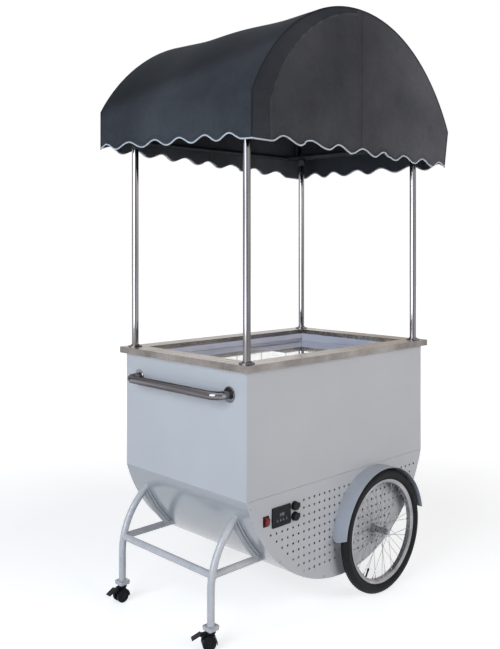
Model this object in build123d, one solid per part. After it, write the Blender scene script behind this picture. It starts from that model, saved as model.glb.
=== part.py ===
from build123d import *
import math
import os

# Ice cream cart, millimetres. X runs from the handle end (-X) to the far end (+X), Z is up, the floor
# is z = 0. The control side is -Y and is called right, the side away from it is +Y and is called left.
# Everything is drawn about the middle of the cabinet and moved once, when it is written.

# Worktop and cabinet
deck_length = 1120.0
deck_width = 760.0
deck_height = 1003.0
deck_sheet = 1.5
deck_lip = 25.0
deck_overhang = 20.0
opening_border = 85.0
collar_drop = 20.0
panel_sheet = 1.5
seam_height = 515.0
seam_gap = 1.0
belly_bottom = 115.0
belly_flange = 24.0
overcut = 1.0

# Welded frame inside the cabinet
frame_tube = 25.0
frame_wall = 2.0
cross_rail_at = 200.0
rib_sheet = 5.0
rib_band = 30.0
rib_fill_height = 215.0
lug_radius = 24.0
tray_height = 190.0
tray_length = 470.0
tray_sheet = 2.0
tray_edge = 22.0

# Cold well, its insulation and the glass lids
liner_sheet = 2.0
liner_inset = 18.0
liner_floor = 575.0
liner_flange = 24.0
foam_wall = 38.0
coil_tube = 8.0
coil_gap = 0.3
coil_loops = 5
coil_start = 41.25
coil_pitch = 55.0
coil_corner = 18.0
lid_glass = 5.0
lid_level = 956.0
lid_step = 9.0
lid_overlap = 50.0
lid_end_gap = 1.0
lid_side_gap = 1.0
groove_depth = 10.0
groove_play = 0.5
track_wall = 26.0
pull_length = 150.0
pull_width = 24.0
pull_height = 9.0
pull_scoop = 6.0
pull_scoop_radius = 8.0
pull_scoop_margin = 12.0
pull_corner = 5.0
pull_from_end = 8.0
# the lower lid's pull is low enough to pass under the upper glass
low_pull_height = 3.2
low_pull_scoop = 1.2

# Perforated lower panels
vent_hole = 9.0
vent_pitch = 30.0
vent_rows = 10
vent_top = 461.0
vent_centre = -13.0
vent_top_half = 495.0
axle_hole_play = 1.0
controls_edge = -253.0
controls_floor = 386.0

# Poles, canopy and its frame
pole_diameter = 28.0
pole_wall = 1.2
pole_inset = 45.0
flange_diameter = 58.0
flange_plate = 5.0
flange_neck = 4.0
flange_neck_height = 9.0
tube_clearance = 0.05
canopy_length = 1190.0
canopy_width = 880.0
canopy_sheet = 2.0
hem_height = 1790.0
spring_height = 1950.0
apex_height = 2350.0
canopy_tube = 20.0
canopy_rail_height = 1868.0
canopy_slack = 0.5
scallop_depth = 24.0
scallop_flat = 90.0
scallops_long = 8
scallops_short = 6

# Push handle
handle_tube = 32.0
handle_wall = 1.5
handle_height = 888.0
handle_span = 542.0
handle_reach = 62.0
handle_bend = 42.0

# Leg frame at the handle end
leg_tube = 28.0
stay_tube = 26.0
leg_gauge = 536.0
leg_line = -627.0
leg_straight_top = 195.0
leg_bend = 290.0
leg_sweep = 62.0
foot_plate = 46.0
foot_plate_thickness = 8.0
foot_plate_corner = 6.0
stay_height = 256.0
saddle_tube = 24.0
saddle_start = 24.0
saddle_end = 47.3
saddle_gap = 0.1

# Casters
caster_height = 68.0
caster_plate = 44.0
caster_plate_thickness = 6.0
caster_wheel = 50.0
caster_wheel_width = 14.5
caster_wheel_round = 2.2
caster_web = 12.0
caster_offset = 8.0
caster_pin = 8.0
caster_pin_cap = 1.2
caster_cap_gap = 0.3
caster_running = 0.05
yoke_tail = 34.0
yoke_tail_heights = (46.0, 58.0)
yoke_shoulder = 12.0
yoke_shoulder_drop = 4.0
yoke_nose = (15.0, 40.0)
yoke_foot = (-18.0, 6.0, 18.0)
kingpin = 10.0
kingpin_length = 14.0
swivel_cap = 36.0
swivel_cap_height = 10.0
swivel_gap = 0.3
hood_thickness = 2.5
hood_gap = 2.0
hood_wedge = ((0.0, 0.0), (60.0, -8.0), (60.0, 60.0), (-16.0, 60.0))
pedal_pivot = (-30.0, 52.0)
pedal_tip = (-70.0, 42.0)
pedal_pin = 5.0
pedal_ring = 2.5
pedal_ear = 5.0
pedal_ear_gap = 0.3
pedal_width = 26.0
# outlines of the pedal's arm and tread, from its pivot and its tip
pedal_arm = ((-3.0, -4.0), (-12.0, -0.5), (-12.0, 5.5), (2.0, 5.0), (4.0, 0.0))
pedal_root = ((-5.5, 4.0), (-6.5, 8.5))
pedal_end = ((3.0, 2.0), (0.0, 0.0), (2.0, -3.0))
caster_turn = {"right": 148.0, "left": 180.0}
caster_screw_inset = 6.5

# Bicycle wheels, axle and mudguards
wheel_radius = 250.0
wheel_line = 190.0
wheel_plane = 402.0
tyre_section = 40.0
tyre_casing = 4.0
rim_radius = 209.0
rim_width = 27.0
rim_depth = 15.0
rim_wall = 2.0
rim_lip = 7.0
rim_shoulder = 3.0
rim_taper = 4.0
rim_core_taper = 3.5
axle_diameter = 12.0
axle_running = 0.05
hub_width = 55.0
hub_barrel = 24.0
hub_flange = 46.0
hub_flange_thickness = 3.5
hub_flange_spread = 44.0
spoke_count = 36
spoke_diameter = 1.8
spoke_cross = 3
spoke_step = 2.6
spoke_rim_offset = 4.0
spoke_hub_gap = 0.1
spoke_rim_gap = 0.2
spacer_diameter = 38.0
spacer_gap = 0.3
nut_across = 19.0
nut_thickness = 9.0
axle_end = 4.0
valve_angle = 238.0
valve_diameter = 7.0
valve_length = 42.0
valve_play = 0.2
guard_gap = 9.0
guard_sheet = 2.0
guard_width = 70.0
guard_start = 10.0
guard_end = 178.0
guard_corner = 24.0
guard_slant = 18.0
guard_tab = 20.0
guard_tab_angles = (22.0, 96.0, 173.0)
guard_rivet_line = 12.0
guard_rivet_reach = 5.0

# Controls on the right lower panel
switch_at = (-444.0, 428.0)
switch_width = 19.6
switch_radius = 15.0
switch_frame = 3.4
switch_flange = 4.0
switch_depth = 18.0
switch_play = 0.3
switch_pivot_out = 2.0
switch_face = 10.0
switch_dish = 2.0
switch_back = 6.0
switch_tilt = 9.0
switch_pin = 3.0
case_at = (-364.5, 430.5)
case_size = (97.0, 73.0)
case_proud = 5.0
case_depth = 42.0
case_margin = 8.0
case_wall = 2.5
case_corner = 3.0
window_at = (-363.0, 437.0)
window_size = (26.0, 14.0)
window_sink = 0.8
button_row = 416.5
button_places = (-388.0, -372.0, -356.0, -340.0)
button_diameter = 7.4
button_round = 0.6
button_proud = 1.2
button_play = 0.05
button_back_gap = 0.1
button_travel = 0.8
button_seat = 3.2
outlet_line = -292.0
outlet_heights = (452.0, 413.0)
outlet_flange = 34.0
outlet_flange_thickness = 5.0
outlet_barrel = 27.0
outlet_depth = 34.0
outlet_bore = 21.0
outlet_bore_depth = 30.0
cap_diameter = 31.0
cap_thickness = 10.0
cap_round = 2.5
cap_lift_reach = 3.0
cap_lift_depths = (4.5, 1.5)
cap_lift_half = 5.0
cap_gap = 0.3
cap_hinge_out = 4.2
cap_hinge_beyond = 4.0
cap_knuckle = 5.6
cap_knuckle_length = 9.0
cap_ear = 3.0
cap_ear_leaf = 1.5
cap_ear_reach = 8.0
cap_leaf_over = 1.0
cap_pin = 2.4

# Cooling machinery on the tray
compressor_at = (60.0, 70.0)
compressor_diameter = 158.0
compressor_height = 178.0
compressor_round = 27.65
compressor_foot = 12.0
compressor_feet = (56.88, 28.44)
compressor_base = 6.0
compressor_base_half = 39.5
condenser_box = (-232.0, -12.0, -232.0, -182.0)
condenser_height = 210.0
condenser_side = 3.0
condenser_fin = 1.0
condenser_fin_pitch = 8.0
condenser_fin_inset = (2.0, 6.0)
condenser_tube = 9.0
condenser_tube_start = 15.0
condenser_tube_pitch = 30.0
condenser_tube_rows = (15.0, 35.0)
fan_radius = 86.0
fan_blade_count = 5
fan_blade_sheet = 2.0
fan_blade_width = 24.8
fan_blade_twist = 28.0
fan_blade_root = 4.0
fan_hub = 34.0
fan_width = 16.0
fan_gap = 9.0
fan_shaft = 6.0
fan_shaft_seat = 2.0
fan_motor_diameter = 72.0
fan_motor_length = 58.0
fan_motor_round = 5.0
fan_stand = (16.0, 10.0)
fan_stand_foot = (40.0, 22.0, 4.0)

# Screws
screw_shank = 4.0
screw_head = 8.0
screw_head_height = 2.4
screw_head_round = 1.44
screw_reach = 9.0
panel_screw_places = (
    (-523.0, 488.0),
    (-371.0, 262.0),
    (-122.0, 138.0),
    (122.0, 138.0),
    (371.0, 262.0),
    (523.0, 488.0),
)

# Worked out from the sizes above
half_deck_x = deck_length / 2
half_deck_y = deck_width / 2
half_body_x = half_deck_x - deck_overhang
half_body_y = half_deck_y - deck_overhang
half_open_x = half_deck_x - opening_border
half_open_y = half_deck_y - opening_border
deck_under = deck_height - deck_sheet
panel_top = deck_height - deck_lip
inside_x = half_body_x - panel_sheet
inside_y = half_body_y - panel_sheet
seam_rise = seam_height - belly_bottom
belly_radius = (seam_rise**2 + half_body_x**2) / (2 * seam_rise)
belly_centre = belly_bottom + belly_radius
pole_x = half_deck_x - pole_inset
pole_y = half_deck_y - pole_inset
half_canopy_x = canopy_length / 2
half_canopy_y = canopy_width / 2
arch_rise = apex_height - spring_height
arch_radius = (arch_rise**2 + half_canopy_x**2) / (2 * arch_rise)
arch_centre = apex_height - arch_radius
half_leg_gauge = leg_gauge / 2
leg_foot = caster_height + caster_plate_thickness
tyre_seat = rim_radius - rim_lip
hub_inner = wheel_plane - hub_width / 2
hub_outer = wheel_plane + hub_width / 2
guard_radius = wheel_radius + guard_gap
panel_face = -half_body_y
caster_reach = -leg_line - pedal_tip[0]
origin_shift = (caster_reach - half_canopy_x) / 2


def block(x0, x1, y0, y1, z0, z1):
    return Pos((x0 + x1) / 2, (y0 + y1) / 2, (z0 + z1) / 2) * Box(x1 - x0, y1 - y0, z1 - z0)


def rod_x(x0, x1, y, z, radius):
    return Pos((x0 + x1) / 2, y, z) * Rot(0, 90, 0) * Cylinder(radius, x1 - x0)


def rod_y(y0, y1, x, z, radius):
    return Pos(x, (y0 + y1) / 2, z) * Rot(90, 0, 0) * Cylinder(radius, y1 - y0)


def rod_z(z0, z1, x, y, radius):
    return Pos(x, y, (z0 + z1) / 2) * Cylinder(radius, z1 - z0)


def side_slab(sketch, y0, y1):
    # a sketch drawn in X and Z, as thick as from y0 to y1
    plane = Plane(origin=(0, y1, 0), x_dir=(1, 0, 0), z_dir=(0, -1, 0))
    return extrude(plane * sketch, y1 - y0)


def end_slab(sketch, x0, x1):
    # a sketch drawn in Y and Z, as thick as from x0 to x1
    plane = Plane(origin=(x0, 0, 0), x_dir=(0, 1, 0), z_dir=(1, 0, 0))
    return extrude(plane * sketch, x1 - x0)


def polygon(points):
    return make_face(Polyline(*points, close=True))


def area(x0, x1, z0, z1):
    return Pos((x0 + x1) / 2, (z0 + z1) / 2) * Rectangle(x1 - x0, z1 - z0)


def bent_tube(points, bend, outer, wall):
    path = FilletPolyline(*points, radius=bend)
    ring = Circle(outer / 2)
    if wall:
        ring = ring - Circle(outer / 2 - wall)
    return sweep(Plane(origin=path @ 0, z_dir=path % 0) * ring, path=path)


def mirrored(shape):
    return mirror(shape, about=Plane.XZ)


def save(name, *solids):
    parts = []
    for shape in solids:
        parts.extend(shape.solids())
    whole = Compound(children=[Solid(part.wrapped) for part in parts])
    whole = whole.moved(Location((origin_shift, 0, 0)))
    whole.label = name
    export_step(whole, "parts/" + name + ".step")


def belly_disc(inset, y0, y1):
    return rod_y(y0, y1, 0, belly_centre, belly_radius - inset)


# Worktop: folded sheet with a lip outside and a collar down into the opening
def make_worktop():
    under = deck_height - deck_lip
    slab = block(-half_deck_x, half_deck_x, -half_deck_y, half_deck_y, under, deck_height)
    inner_x = half_deck_x - deck_sheet
    inner_y = half_deck_y - deck_sheet
    hollow = block(-inner_x, inner_x, -inner_y, inner_y, under + deck_sheet, deck_under)
    way_up = block(-inside_x, inside_x, -inside_y, inside_y, under, under + deck_sheet)
    collar_x = half_open_x + deck_sheet
    collar_y = half_open_y + deck_sheet
    collar = block(-collar_x, collar_x, -collar_y, collar_y, deck_height - collar_drop, deck_under)
    opening = block(-half_open_x, half_open_x, -half_open_y, half_open_y, under - deck_lip, deck_height)
    return slab - hollow - way_up + collar - opening


# Cabinet panels
def make_end_panel(side):
    inner = side * inside_x
    outer = side * half_body_x
    return block(min(inner, outer), max(inner, outer), -inside_y, inside_y, seam_height, panel_top)


def make_belly():
    below = block(-half_deck_x, half_deck_x, -half_deck_y, half_deck_y, 0, seam_height)
    sheet = belly_disc(0, -inside_y, inside_y) - belly_disc(panel_sheet, -inside_y, inside_y)
    flanges = belly_disc(panel_sheet, -inside_y, inside_y)
    flanges -= belly_disc(belly_flange, -half_body_y, half_body_y)
    flange_face = inside_y - panel_sheet
    flanges -= block(-half_deck_x, half_deck_x, -flange_face, flange_face, 0, deck_height)
    both = (sheet + flanges) & below
    for side in (-1, 1):
        near = side * inside_y - panel_sheet * 2
        far = side * inside_y + panel_sheet * 2
        for x, z in panel_screw_places:
            both -= rod_y(near, far, x, z, screw_shank / 2)
    return both


def make_side_panel(side):
    inner = side * inside_y
    outer = side * half_body_y
    low = seam_height + seam_gap / 2
    return block(-half_body_x, half_body_x, min(inner, outer), max(inner, outer), low, panel_top)


def vent_places(with_controls):
    places = []
    for row in range(vent_rows):
        z = vent_top - row * vent_pitch
        half = vent_top_half - row * vent_pitch
        count = round(2 * half / vent_pitch) + 1
        for column in range(count):
            x = vent_centre - half + column * vent_pitch
            on_controls = with_controls and x < controls_edge and z > controls_floor
            near_axle = math.hypot(x - wheel_line, z - wheel_radius) < spacer_diameter / 2 + vent_hole
            if not on_controls and not near_axle:
                places.append((x, z))
    return places


def make_vent_panel(side):
    top = seam_height - seam_gap / 2
    inner = side * inside_y
    outer = side * half_body_y
    low_y = min(inner, outer)
    high_y = max(inner, outer)
    outline = Pos(0, belly_centre) * Circle(belly_radius)
    outline &= area(-half_deck_x, half_deck_x, 0, top)
    holes = [Pos(x, z) * Circle(vent_hole / 2) for x, z in vent_places(side < 0)]
    holes += [Pos(x, z) * Circle(screw_shank / 2) for x, z in panel_screw_places]
    holes.append(Pos(wheel_line, wheel_radius) * Circle(axle_diameter / 2 + axle_hole_play))
    if side < 0:
        back_width = switch_width + 2 * switch_play + switch_frame
        back_height = 2 * (switch_radius + switch_play) + switch_frame
        holes.append(Pos(*switch_at) * Rectangle(back_width, back_height))
        case_back = [length - 2 * case_margin for length in case_size]
        holes.append(Pos(*case_at) * Rectangle(*case_back))
        holes += [Pos(outlet_line, z) * Circle(outlet_barrel / 2) for z in outlet_heights]
    return side_slab(outline - holes, low_y, high_y)


# Welded frame: corner posts, rails, belly ribs with the axle lugs, and the machine tray
def square_tube(x0, x1, y0, y1, z0, z1, along):
    outer = block(x0, x1, y0, y1, z0, z1)
    grow = [-frame_wall, -frame_wall, -frame_wall]
    grow[along] = overcut
    core = block(x0 - grow[0], x1 + grow[0], y0 - grow[1], y1 + grow[1], z0 - grow[2], z1 + grow[2])
    return outer - core


def make_frame():
    members = []
    ring_top = seam_height + frame_tube
    rail_low = deck_under - frame_tube
    in_x = inside_x - frame_tube
    in_y = inside_y - frame_tube
    for sx in (-1, 1):
        x0, x1 = sorted((sx * in_x, sx * inside_x))
        for sy in (-1, 1):
            y0, y1 = sorted((sy * in_y, sy * inside_y))
            members.append(square_tube(x0, x1, y0, y1, ring_top, rail_low, 2))
        for low in (seam_height, rail_low):
            members.append(square_tube(x0, x1, -in_y, in_y, low, low + frame_tube, 1))
    for sy in (-1, 1):
        y0, y1 = sorted((sy * in_y, sy * inside_y))
        for low in (seam_height, rail_low):
            members.append(square_tube(-inside_x, inside_x, y0, y1, low, low + frame_tube, 0))
        members.append(make_rib(sy))
    for x in (-cross_rail_at, cross_rail_at):
        half = frame_tube / 2
        members.append(square_tube(x - half, x + half, -in_y, in_y, seam_height, ring_top, 1))
    members.append(make_tray())
    return members


def make_rib(side):
    middle = side * half_leg_gauge
    y0 = middle - rib_sheet / 2
    y1 = middle + rib_sheet / 2
    inner_radius = belly_radius - panel_sheet
    disc = Pos(0, belly_centre) * Circle(inner_radius)
    band = disc - Pos(0, belly_centre) * Circle(inner_radius - rib_band)
    filled = disc & area(-half_deck_x, half_deck_x, 0, rib_fill_height)
    lug = area(wheel_line - lug_radius, wheel_line + lug_radius, rib_fill_height - rib_band, wheel_radius)
    lug += Pos(wheel_line, wheel_radius) * Circle(lug_radius)
    outline = (band & area(-half_deck_x, half_deck_x, 0, seam_height)) + filled + (lug & disc)
    outline -= Pos(wheel_line, wheel_radius) * Circle(axle_diameter / 2 + axle_running)
    return side_slab(outline, y0, y1)


def make_tray():
    reach = half_leg_gauge - rib_sheet / 2
    half = tray_length / 2
    pan = block(-half, half, -reach, reach, tray_height, tray_height + tray_edge)
    inner = reach - tray_sheet
    top = tray_height + tray_edge + overcut
    return pan - block(-half - overcut, half + overcut, -inner, inner, tray_height + tray_sheet, top)


# Cold well
def rounded_block(half_x, half_y, z0, z1, corner):
    return Pos(0, 0, z0) * extrude(RectangleRounded(2 * half_x, 2 * half_y, corner), z1 - z0)


def well_sizes():
    in_x = half_open_x - liner_inset
    in_y = half_open_y - liner_inset
    return in_x, in_y, in_x + liner_sheet, in_y + liner_sheet


track_top = deck_height - collar_drop
track_bottom = lid_level - lid_glass / 2 - lid_step - lid_glass / 2 - groove_play - liner_sheet
foam_top = track_bottom - liner_sheet


def make_liner():
    in_x, in_y, out_x, out_y = well_sizes()
    outer_corner = coil_corner - coil_tube / 2 - coil_gap
    cup = rounded_block(out_x, out_y, liner_floor - liner_sheet, track_bottom, outer_corner)
    rim_x = out_x + liner_flange
    rim_y = out_y + liner_flange
    rim = block(-rim_x, rim_x, -rim_y, rim_y, foam_top, track_bottom)
    return cup + rim - rounded_block(in_x, in_y, liner_floor, track_bottom, outer_corner - liner_sheet)


def make_foam():
    out_x, out_y = well_sizes()[2:]
    pocket = coil_tube + 2 * coil_gap
    hole_x = out_x + pocket
    hole_y = out_y + pocket
    outer_x = hole_x + foam_wall
    outer_y = hole_y + foam_wall
    floor = seam_height + frame_tube
    body = block(-outer_x, outer_x, -outer_y, outer_y, floor, foam_top)
    posts = inside_x - frame_tube
    corner_y = inside_y - frame_tube
    for sx in (-1, 1):
        for sy in (-1, 1):
            x0, x1 = sorted((sx * posts, sx * inside_x))
            y0, y1 = sorted((sy * corner_y, sy * inside_y))
            body -= block(x0, x1, y0, y1, floor, foam_top)
    pocket_corner = coil_corner + coil_tube / 2 + coil_gap
    return body - rounded_block(hole_x, hole_y, liner_floor - liner_sheet, foam_top, pocket_corner)


def make_coil():
    out_x, out_y = well_sizes()[2:]
    centre_x = out_x + coil_gap + coil_tube / 2
    centre_y = out_y + coil_gap + coil_tube / 2
    loops = []
    for turn in range(coil_loops):
        z = liner_floor + coil_start + coil_pitch * turn
        outer = RectangleRounded(2 * centre_x, 2 * centre_y, coil_corner)
        path = Plane(origin=(0, 0, z)) * outer.wire()
        profile = Plane(origin=(0, -centre_y, z), x_dir=(0, 1, 0), z_dir=(1, 0, 0)) * Circle(coil_tube / 2)
        loops.append(sweep(profile, path=path))
    return loops


def lid_grooves():
    upper = lid_level
    lower = lid_level - lid_step
    return lower, upper


def make_track():
    outer_x = half_open_x + track_wall
    outer_y = half_open_y + track_wall
    ring = block(-outer_x, outer_x, -outer_y, outer_y, track_bottom, track_top)
    ring -= block(-half_open_x, half_open_x, -half_open_y, half_open_y, track_bottom, track_top)
    reach = half_open_y + groove_depth
    for level in lid_grooves():
        half = lid_glass / 2 + groove_play
        ring -= block(-half_open_x, half_open_x, -reach, reach, level - half, level + half)
    return ring


def make_lid(side, level):
    half_y = half_open_y + groove_depth - lid_side_gap
    outer = half_open_x - lid_end_gap
    x0, x1 = sorted((side * outer, -side * lid_overlap / 2))
    bottom = level - lid_glass / 2
    return block(x0, x1, -half_y, half_y, bottom, bottom + lid_glass)


def make_pull(side, level, height, scoop):
    outer = half_open_x - lid_end_gap - pull_from_end
    x0, x1 = sorted((side * outer, side * (outer - pull_width)))
    low = level + lid_glass / 2
    half = pull_length / 2
    grip = block(x0, x1, -half, half, low, low + height)
    scoop_half = half - pull_scoop_margin
    scoop_centre = low + height - scoop + pull_scoop_radius
    grip -= rod_y(-scoop_half, scoop_half, (x0 + x1) / 2, scoop_centre, pull_scoop_radius)
    upright = [edge for edge in grip.edges().filter_by(Axis.Z) if abs(abs(edge.center().Y) - half) < 0.1]
    return fillet(upright, pull_corner)


# Poles and their cover flanges
def make_poles():
    top = canopy_rail_height - canopy_tube / 2
    poles = []
    for sx in (-1, 1):
        for sy in (-1, 1):
            spot = (sx * pole_x, sy * pole_y)
            pole = rod_z(deck_height, top, *spot, pole_diameter / 2)
            pole -= rod_z(deck_height, top, *spot, pole_diameter / 2 - pole_wall)
            poles.append(pole)
    return poles


def cover_flange(tube):
    hole = tube / 2 + tube_clearance
    body = Pos(0, 0, flange_plate / 2) * Cylinder(flange_diameter / 2, flange_plate)
    body = chamfer(body.edges().group_by(Axis.Z)[-1], flange_plate / 2)
    body += Pos(0, 0, flange_neck_height / 2) * Cylinder(tube / 2 + flange_neck, flange_neck_height)
    return body - Pos(0, 0, flange_neck_height / 2) * Cylinder(hole, flange_neck_height)


def make_flanges():
    flanges = []
    for sx in (-1, 1):
        for sy in (-1, 1):
            flanges.append(Pos(sx * pole_x, sy * pole_y, deck_height) * cover_flange(pole_diameter))
    for sy in (-1, 1):
        spot = Pos(-half_body_x, sy * handle_span / 2, handle_height)
        flanges.append(spot * Rot(0, -90, 0) * cover_flange(handle_tube))
    return flanges


# Canopy: an arched cloth over the length, a flat cloth at each side, and the tube frame that holds them
def vault_outline(inset):
    half = half_canopy_x - inset
    radius = arch_radius - inset
    low = hem_height - scallop_depth
    spring = arch_centre + math.sqrt(radius**2 - half**2)
    left = Line((-half, low), (-half, spring))
    arch = ThreePointArc((-half, spring), (0, arch_centre + radius), (half, spring))
    right = Line((half, spring), (half, low))
    base = Line((half, low), (-half, low))
    return make_face([left, arch, right, base])


def hem_wave(half_width, count):
    # the strip that is cut away below a scalloped hem, drawn as arcs that bend up and down by turns
    mid = hem_height + scallop_depth / 2
    low = hem_height - 2 * scallop_depth
    start = -half_width + scallop_flat
    step = 2 * (half_width - scallop_flat) / (2 * count - 1)
    edge = half_width + overcut
    lines = [Line((-edge, low), (-edge, hem_height))]
    lines.append(Line((-edge, hem_height), (start - step / 2, hem_height)))
    lines.append(Line((start - step / 2, hem_height), (start, mid)))
    x = start
    for turn in range(2 * count - 1):
        bend = 1 if turn % 2 == 0 else -1
        lines.append(ThreePointArc((x, mid), (x + step / 2, mid + bend * scallop_depth / 2), (x + step, mid)))
        x += step
    lines.append(Line((x, mid), (x + step / 2, hem_height)))
    lines.append(Line((x + step / 2, hem_height), (edge, hem_height)))
    lines.append(Line((edge, hem_height), (edge, low)))
    lines.append(Line((edge, low), (-edge, low)))
    return make_face(lines)


def make_vault():
    shell = side_slab(vault_outline(0) - vault_outline(canopy_sheet), -half_canopy_y, half_canopy_y)
    reach = half_canopy_x + overcut
    return shell - end_slab(hem_wave(half_canopy_y, scallops_short), -reach, reach)


def make_canopy_ends():
    ends = []
    for side in (-1, 1):
        y0, y1 = sorted((side * half_canopy_y, side * (half_canopy_y - canopy_sheet)))
        sheet = side_slab(vault_outline(canopy_sheet), y0, y1)
        ends.append(sheet - side_slab(hem_wave(half_canopy_x, scallops_long), y0 - overcut, y1 + overcut))
    return ends


def arch_bar(rail_x, radius, y, thickness):
    # a bar that stands up from each long rail's end and bends over between them
    spring = arch_centre + math.sqrt(radius**2 - rail_x**2)
    start = math.degrees(math.atan2(spring - arch_centre, rail_x))
    over = CenterArc((0, arch_centre), radius, start, 180 - 2 * start)
    path = Plane(origin=(0, y, 0), x_dir=(1, 0, 0), z_dir=(0, -1, 0)) * over
    bar = sweep(Plane(origin=path @ 0, z_dir=path % 0) * Circle(thickness), path=path)
    for sx in (-1, 1):
        bar += rod_z(canopy_rail_height, spring, sx * rail_x, y, thickness)
        bar += Pos(sx * rail_x, y, spring) * Sphere(thickness)
    return bar


def make_canopy_frame():
    tube = canopy_tube / 2
    bore = tube - pole_wall
    reach = canopy_sheet + canopy_slack + tube
    rail_x = half_canopy_x - reach
    rail_y = half_canopy_y - reach
    radius = arch_radius - reach
    z = canopy_rail_height
    end_rails = [rod_y(-rail_y - tube, rail_y + tube, sx * rail_x, z, tube) for sx in (-1, 1)]
    long_rails = [rod_x(-rail_x, rail_x, sy * rail_y, z, tube) for sy in (-1, 1)]
    members = [rail - rod_y(-rail_y - tube, rail_y + tube, rail.center().X, z, bore) for rail in end_rails]
    for rail in long_rails:
        long_tube = rail - rod_x(-rail_x, rail_x, rail.center().Y, z, bore)
        members.append(long_tube - end_rails)
    for sx in (-1, 1):
        beam = rod_y(-rail_y, rail_y, sx * pole_x, z, tube) - rod_y(-rail_y, rail_y, sx * pole_x, z, bore)
        members.append(beam - long_rails)
    arches = []
    for y in (-rail_y, 0, rail_y):
        bar = arch_bar(rail_x, radius, y, tube)
        arches.append(bar)
        members.append(bar - arch_bar(rail_x, radius, y, bore) - end_rails - long_rails)
    top = arch_centre + radius
    ridge = rod_y(-rail_y, rail_y, 0, top, tube) - rod_y(-rail_y, rail_y, 0, top, bore)
    members.append(ridge - arches)
    return members


# Push handle
def make_handle():
    half = handle_span / 2
    reach = -half_body_x - handle_reach
    points = [(-half_body_x, -half, handle_height), (reach, -half, handle_height)]
    points += [(reach, half, handle_height), (-half_body_x, half, handle_height)]
    return bent_tube(points, handle_bend, handle_tube, handle_wall)


# Leg frame, drawn for the left side
def leg_bar():
    # the straight foot and the bend above it, with no plate and not yet cut
    radius = leg_tube / 2
    bend_x = leg_line + leg_bend
    bend = CenterArc((bend_x, leg_straight_top), leg_bend, 180 - leg_sweep, leg_sweep)
    path = Plane(origin=(0, half_leg_gauge, 0), x_dir=(1, 0, 0), z_dir=(0, -1, 0)) * bend
    bar = sweep(Plane(origin=path @ 0, z_dir=path % 0) * Circle(radius), path=path)
    return bar + rod_z(leg_foot + foot_plate_thickness, leg_straight_top, leg_line, half_leg_gauge, radius)


def make_leg():
    leg = leg_bar() - belly_disc(-saddle_gap, -half_body_y, half_body_y)
    half = foot_plate / 2
    near_y = half_leg_gauge - half
    far_y = half_leg_gauge + half
    plate = block(leg_line - half, leg_line + half, near_y, far_y, leg_foot, leg_foot + foot_plate_thickness)
    plate = fillet(plate.edges().filter_by(Axis.Z), foot_plate_corner)
    for x, y in caster_screw_places():
        plate -= rod_z(leg_foot, leg_foot + foot_plate_thickness, x, y, screw_shank / 2)
    return leg + plate


def make_saddle():
    radius = belly_radius + saddle_gap + saddle_tube / 2
    bend = CenterArc((0, belly_centre), radius, 180 + saddle_start, saddle_end - saddle_start)
    path = Plane(origin=(0, half_leg_gauge, 0), x_dir=(1, 0, 0), z_dir=(0, -1, 0)) * bend
    saddle = sweep(Plane(origin=path @ 0, z_dir=path % 0) * Circle(saddle_tube / 2), path=path)
    saddle = saddle - leg_bar() - stay_bar()
    return max(saddle.solids(), key=lambda part: part.volume)


def leg_x_at(height):
    return leg_line + leg_bend - math.sqrt(leg_bend**2 - (height - leg_straight_top) ** 2)


def stay_bar():
    return rod_x(leg_x_at(stay_height), 0, half_leg_gauge, stay_height, stay_tube / 2)


def make_stay():
    stay = stay_bar() - belly_disc(-saddle_gap, -half_body_y, half_body_y)
    stay -= leg_bar()
    return min(stay.solids(), key=lambda part: part.center().X)


def make_cross_tube():
    legs = [leg_bar(), mirrored(leg_bar())]
    tube = rod_y(-half_leg_gauge, half_leg_gauge, leg_x_at(stay_height), stay_height, stay_tube / 2)
    tube = tube - legs - make_stay() - mirrored(make_stay())
    return max(tube.solids(), key=lambda part: part.volume)


# Casters, drawn with the trailing side at -X about the swivel line, then turned and placed
def caster_place(side):
    name = "left" if side > 0 else "right"
    return Pos(leg_line, side * half_leg_gauge, 0) * Rot(0, 0, caster_turn[name] - 180)


def caster_screw_places():
    reach = caster_plate / 2 - caster_screw_inset
    places = []
    for sx in (-1, 1):
        for sy in (-1, 1):
            places.append((leg_line + sx * reach, half_leg_gauge + sy * reach))
    return places


def make_caster_plate():
    y = half_leg_gauge
    half = caster_plate / 2
    plate = block(leg_line - half, leg_line + half, y - half, y + half, caster_height, leg_foot)
    plate = fillet(plate.edges().filter_by(Axis.Z), foot_plate_corner)
    plate += rod_z(caster_height - kingpin_length, caster_height, leg_line, y, kingpin / 2)
    for x, screw_y in caster_screw_places():
        plate -= rod_z(caster_height, leg_foot, x, screw_y, screw_shank / 2)
    return plate


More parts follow.
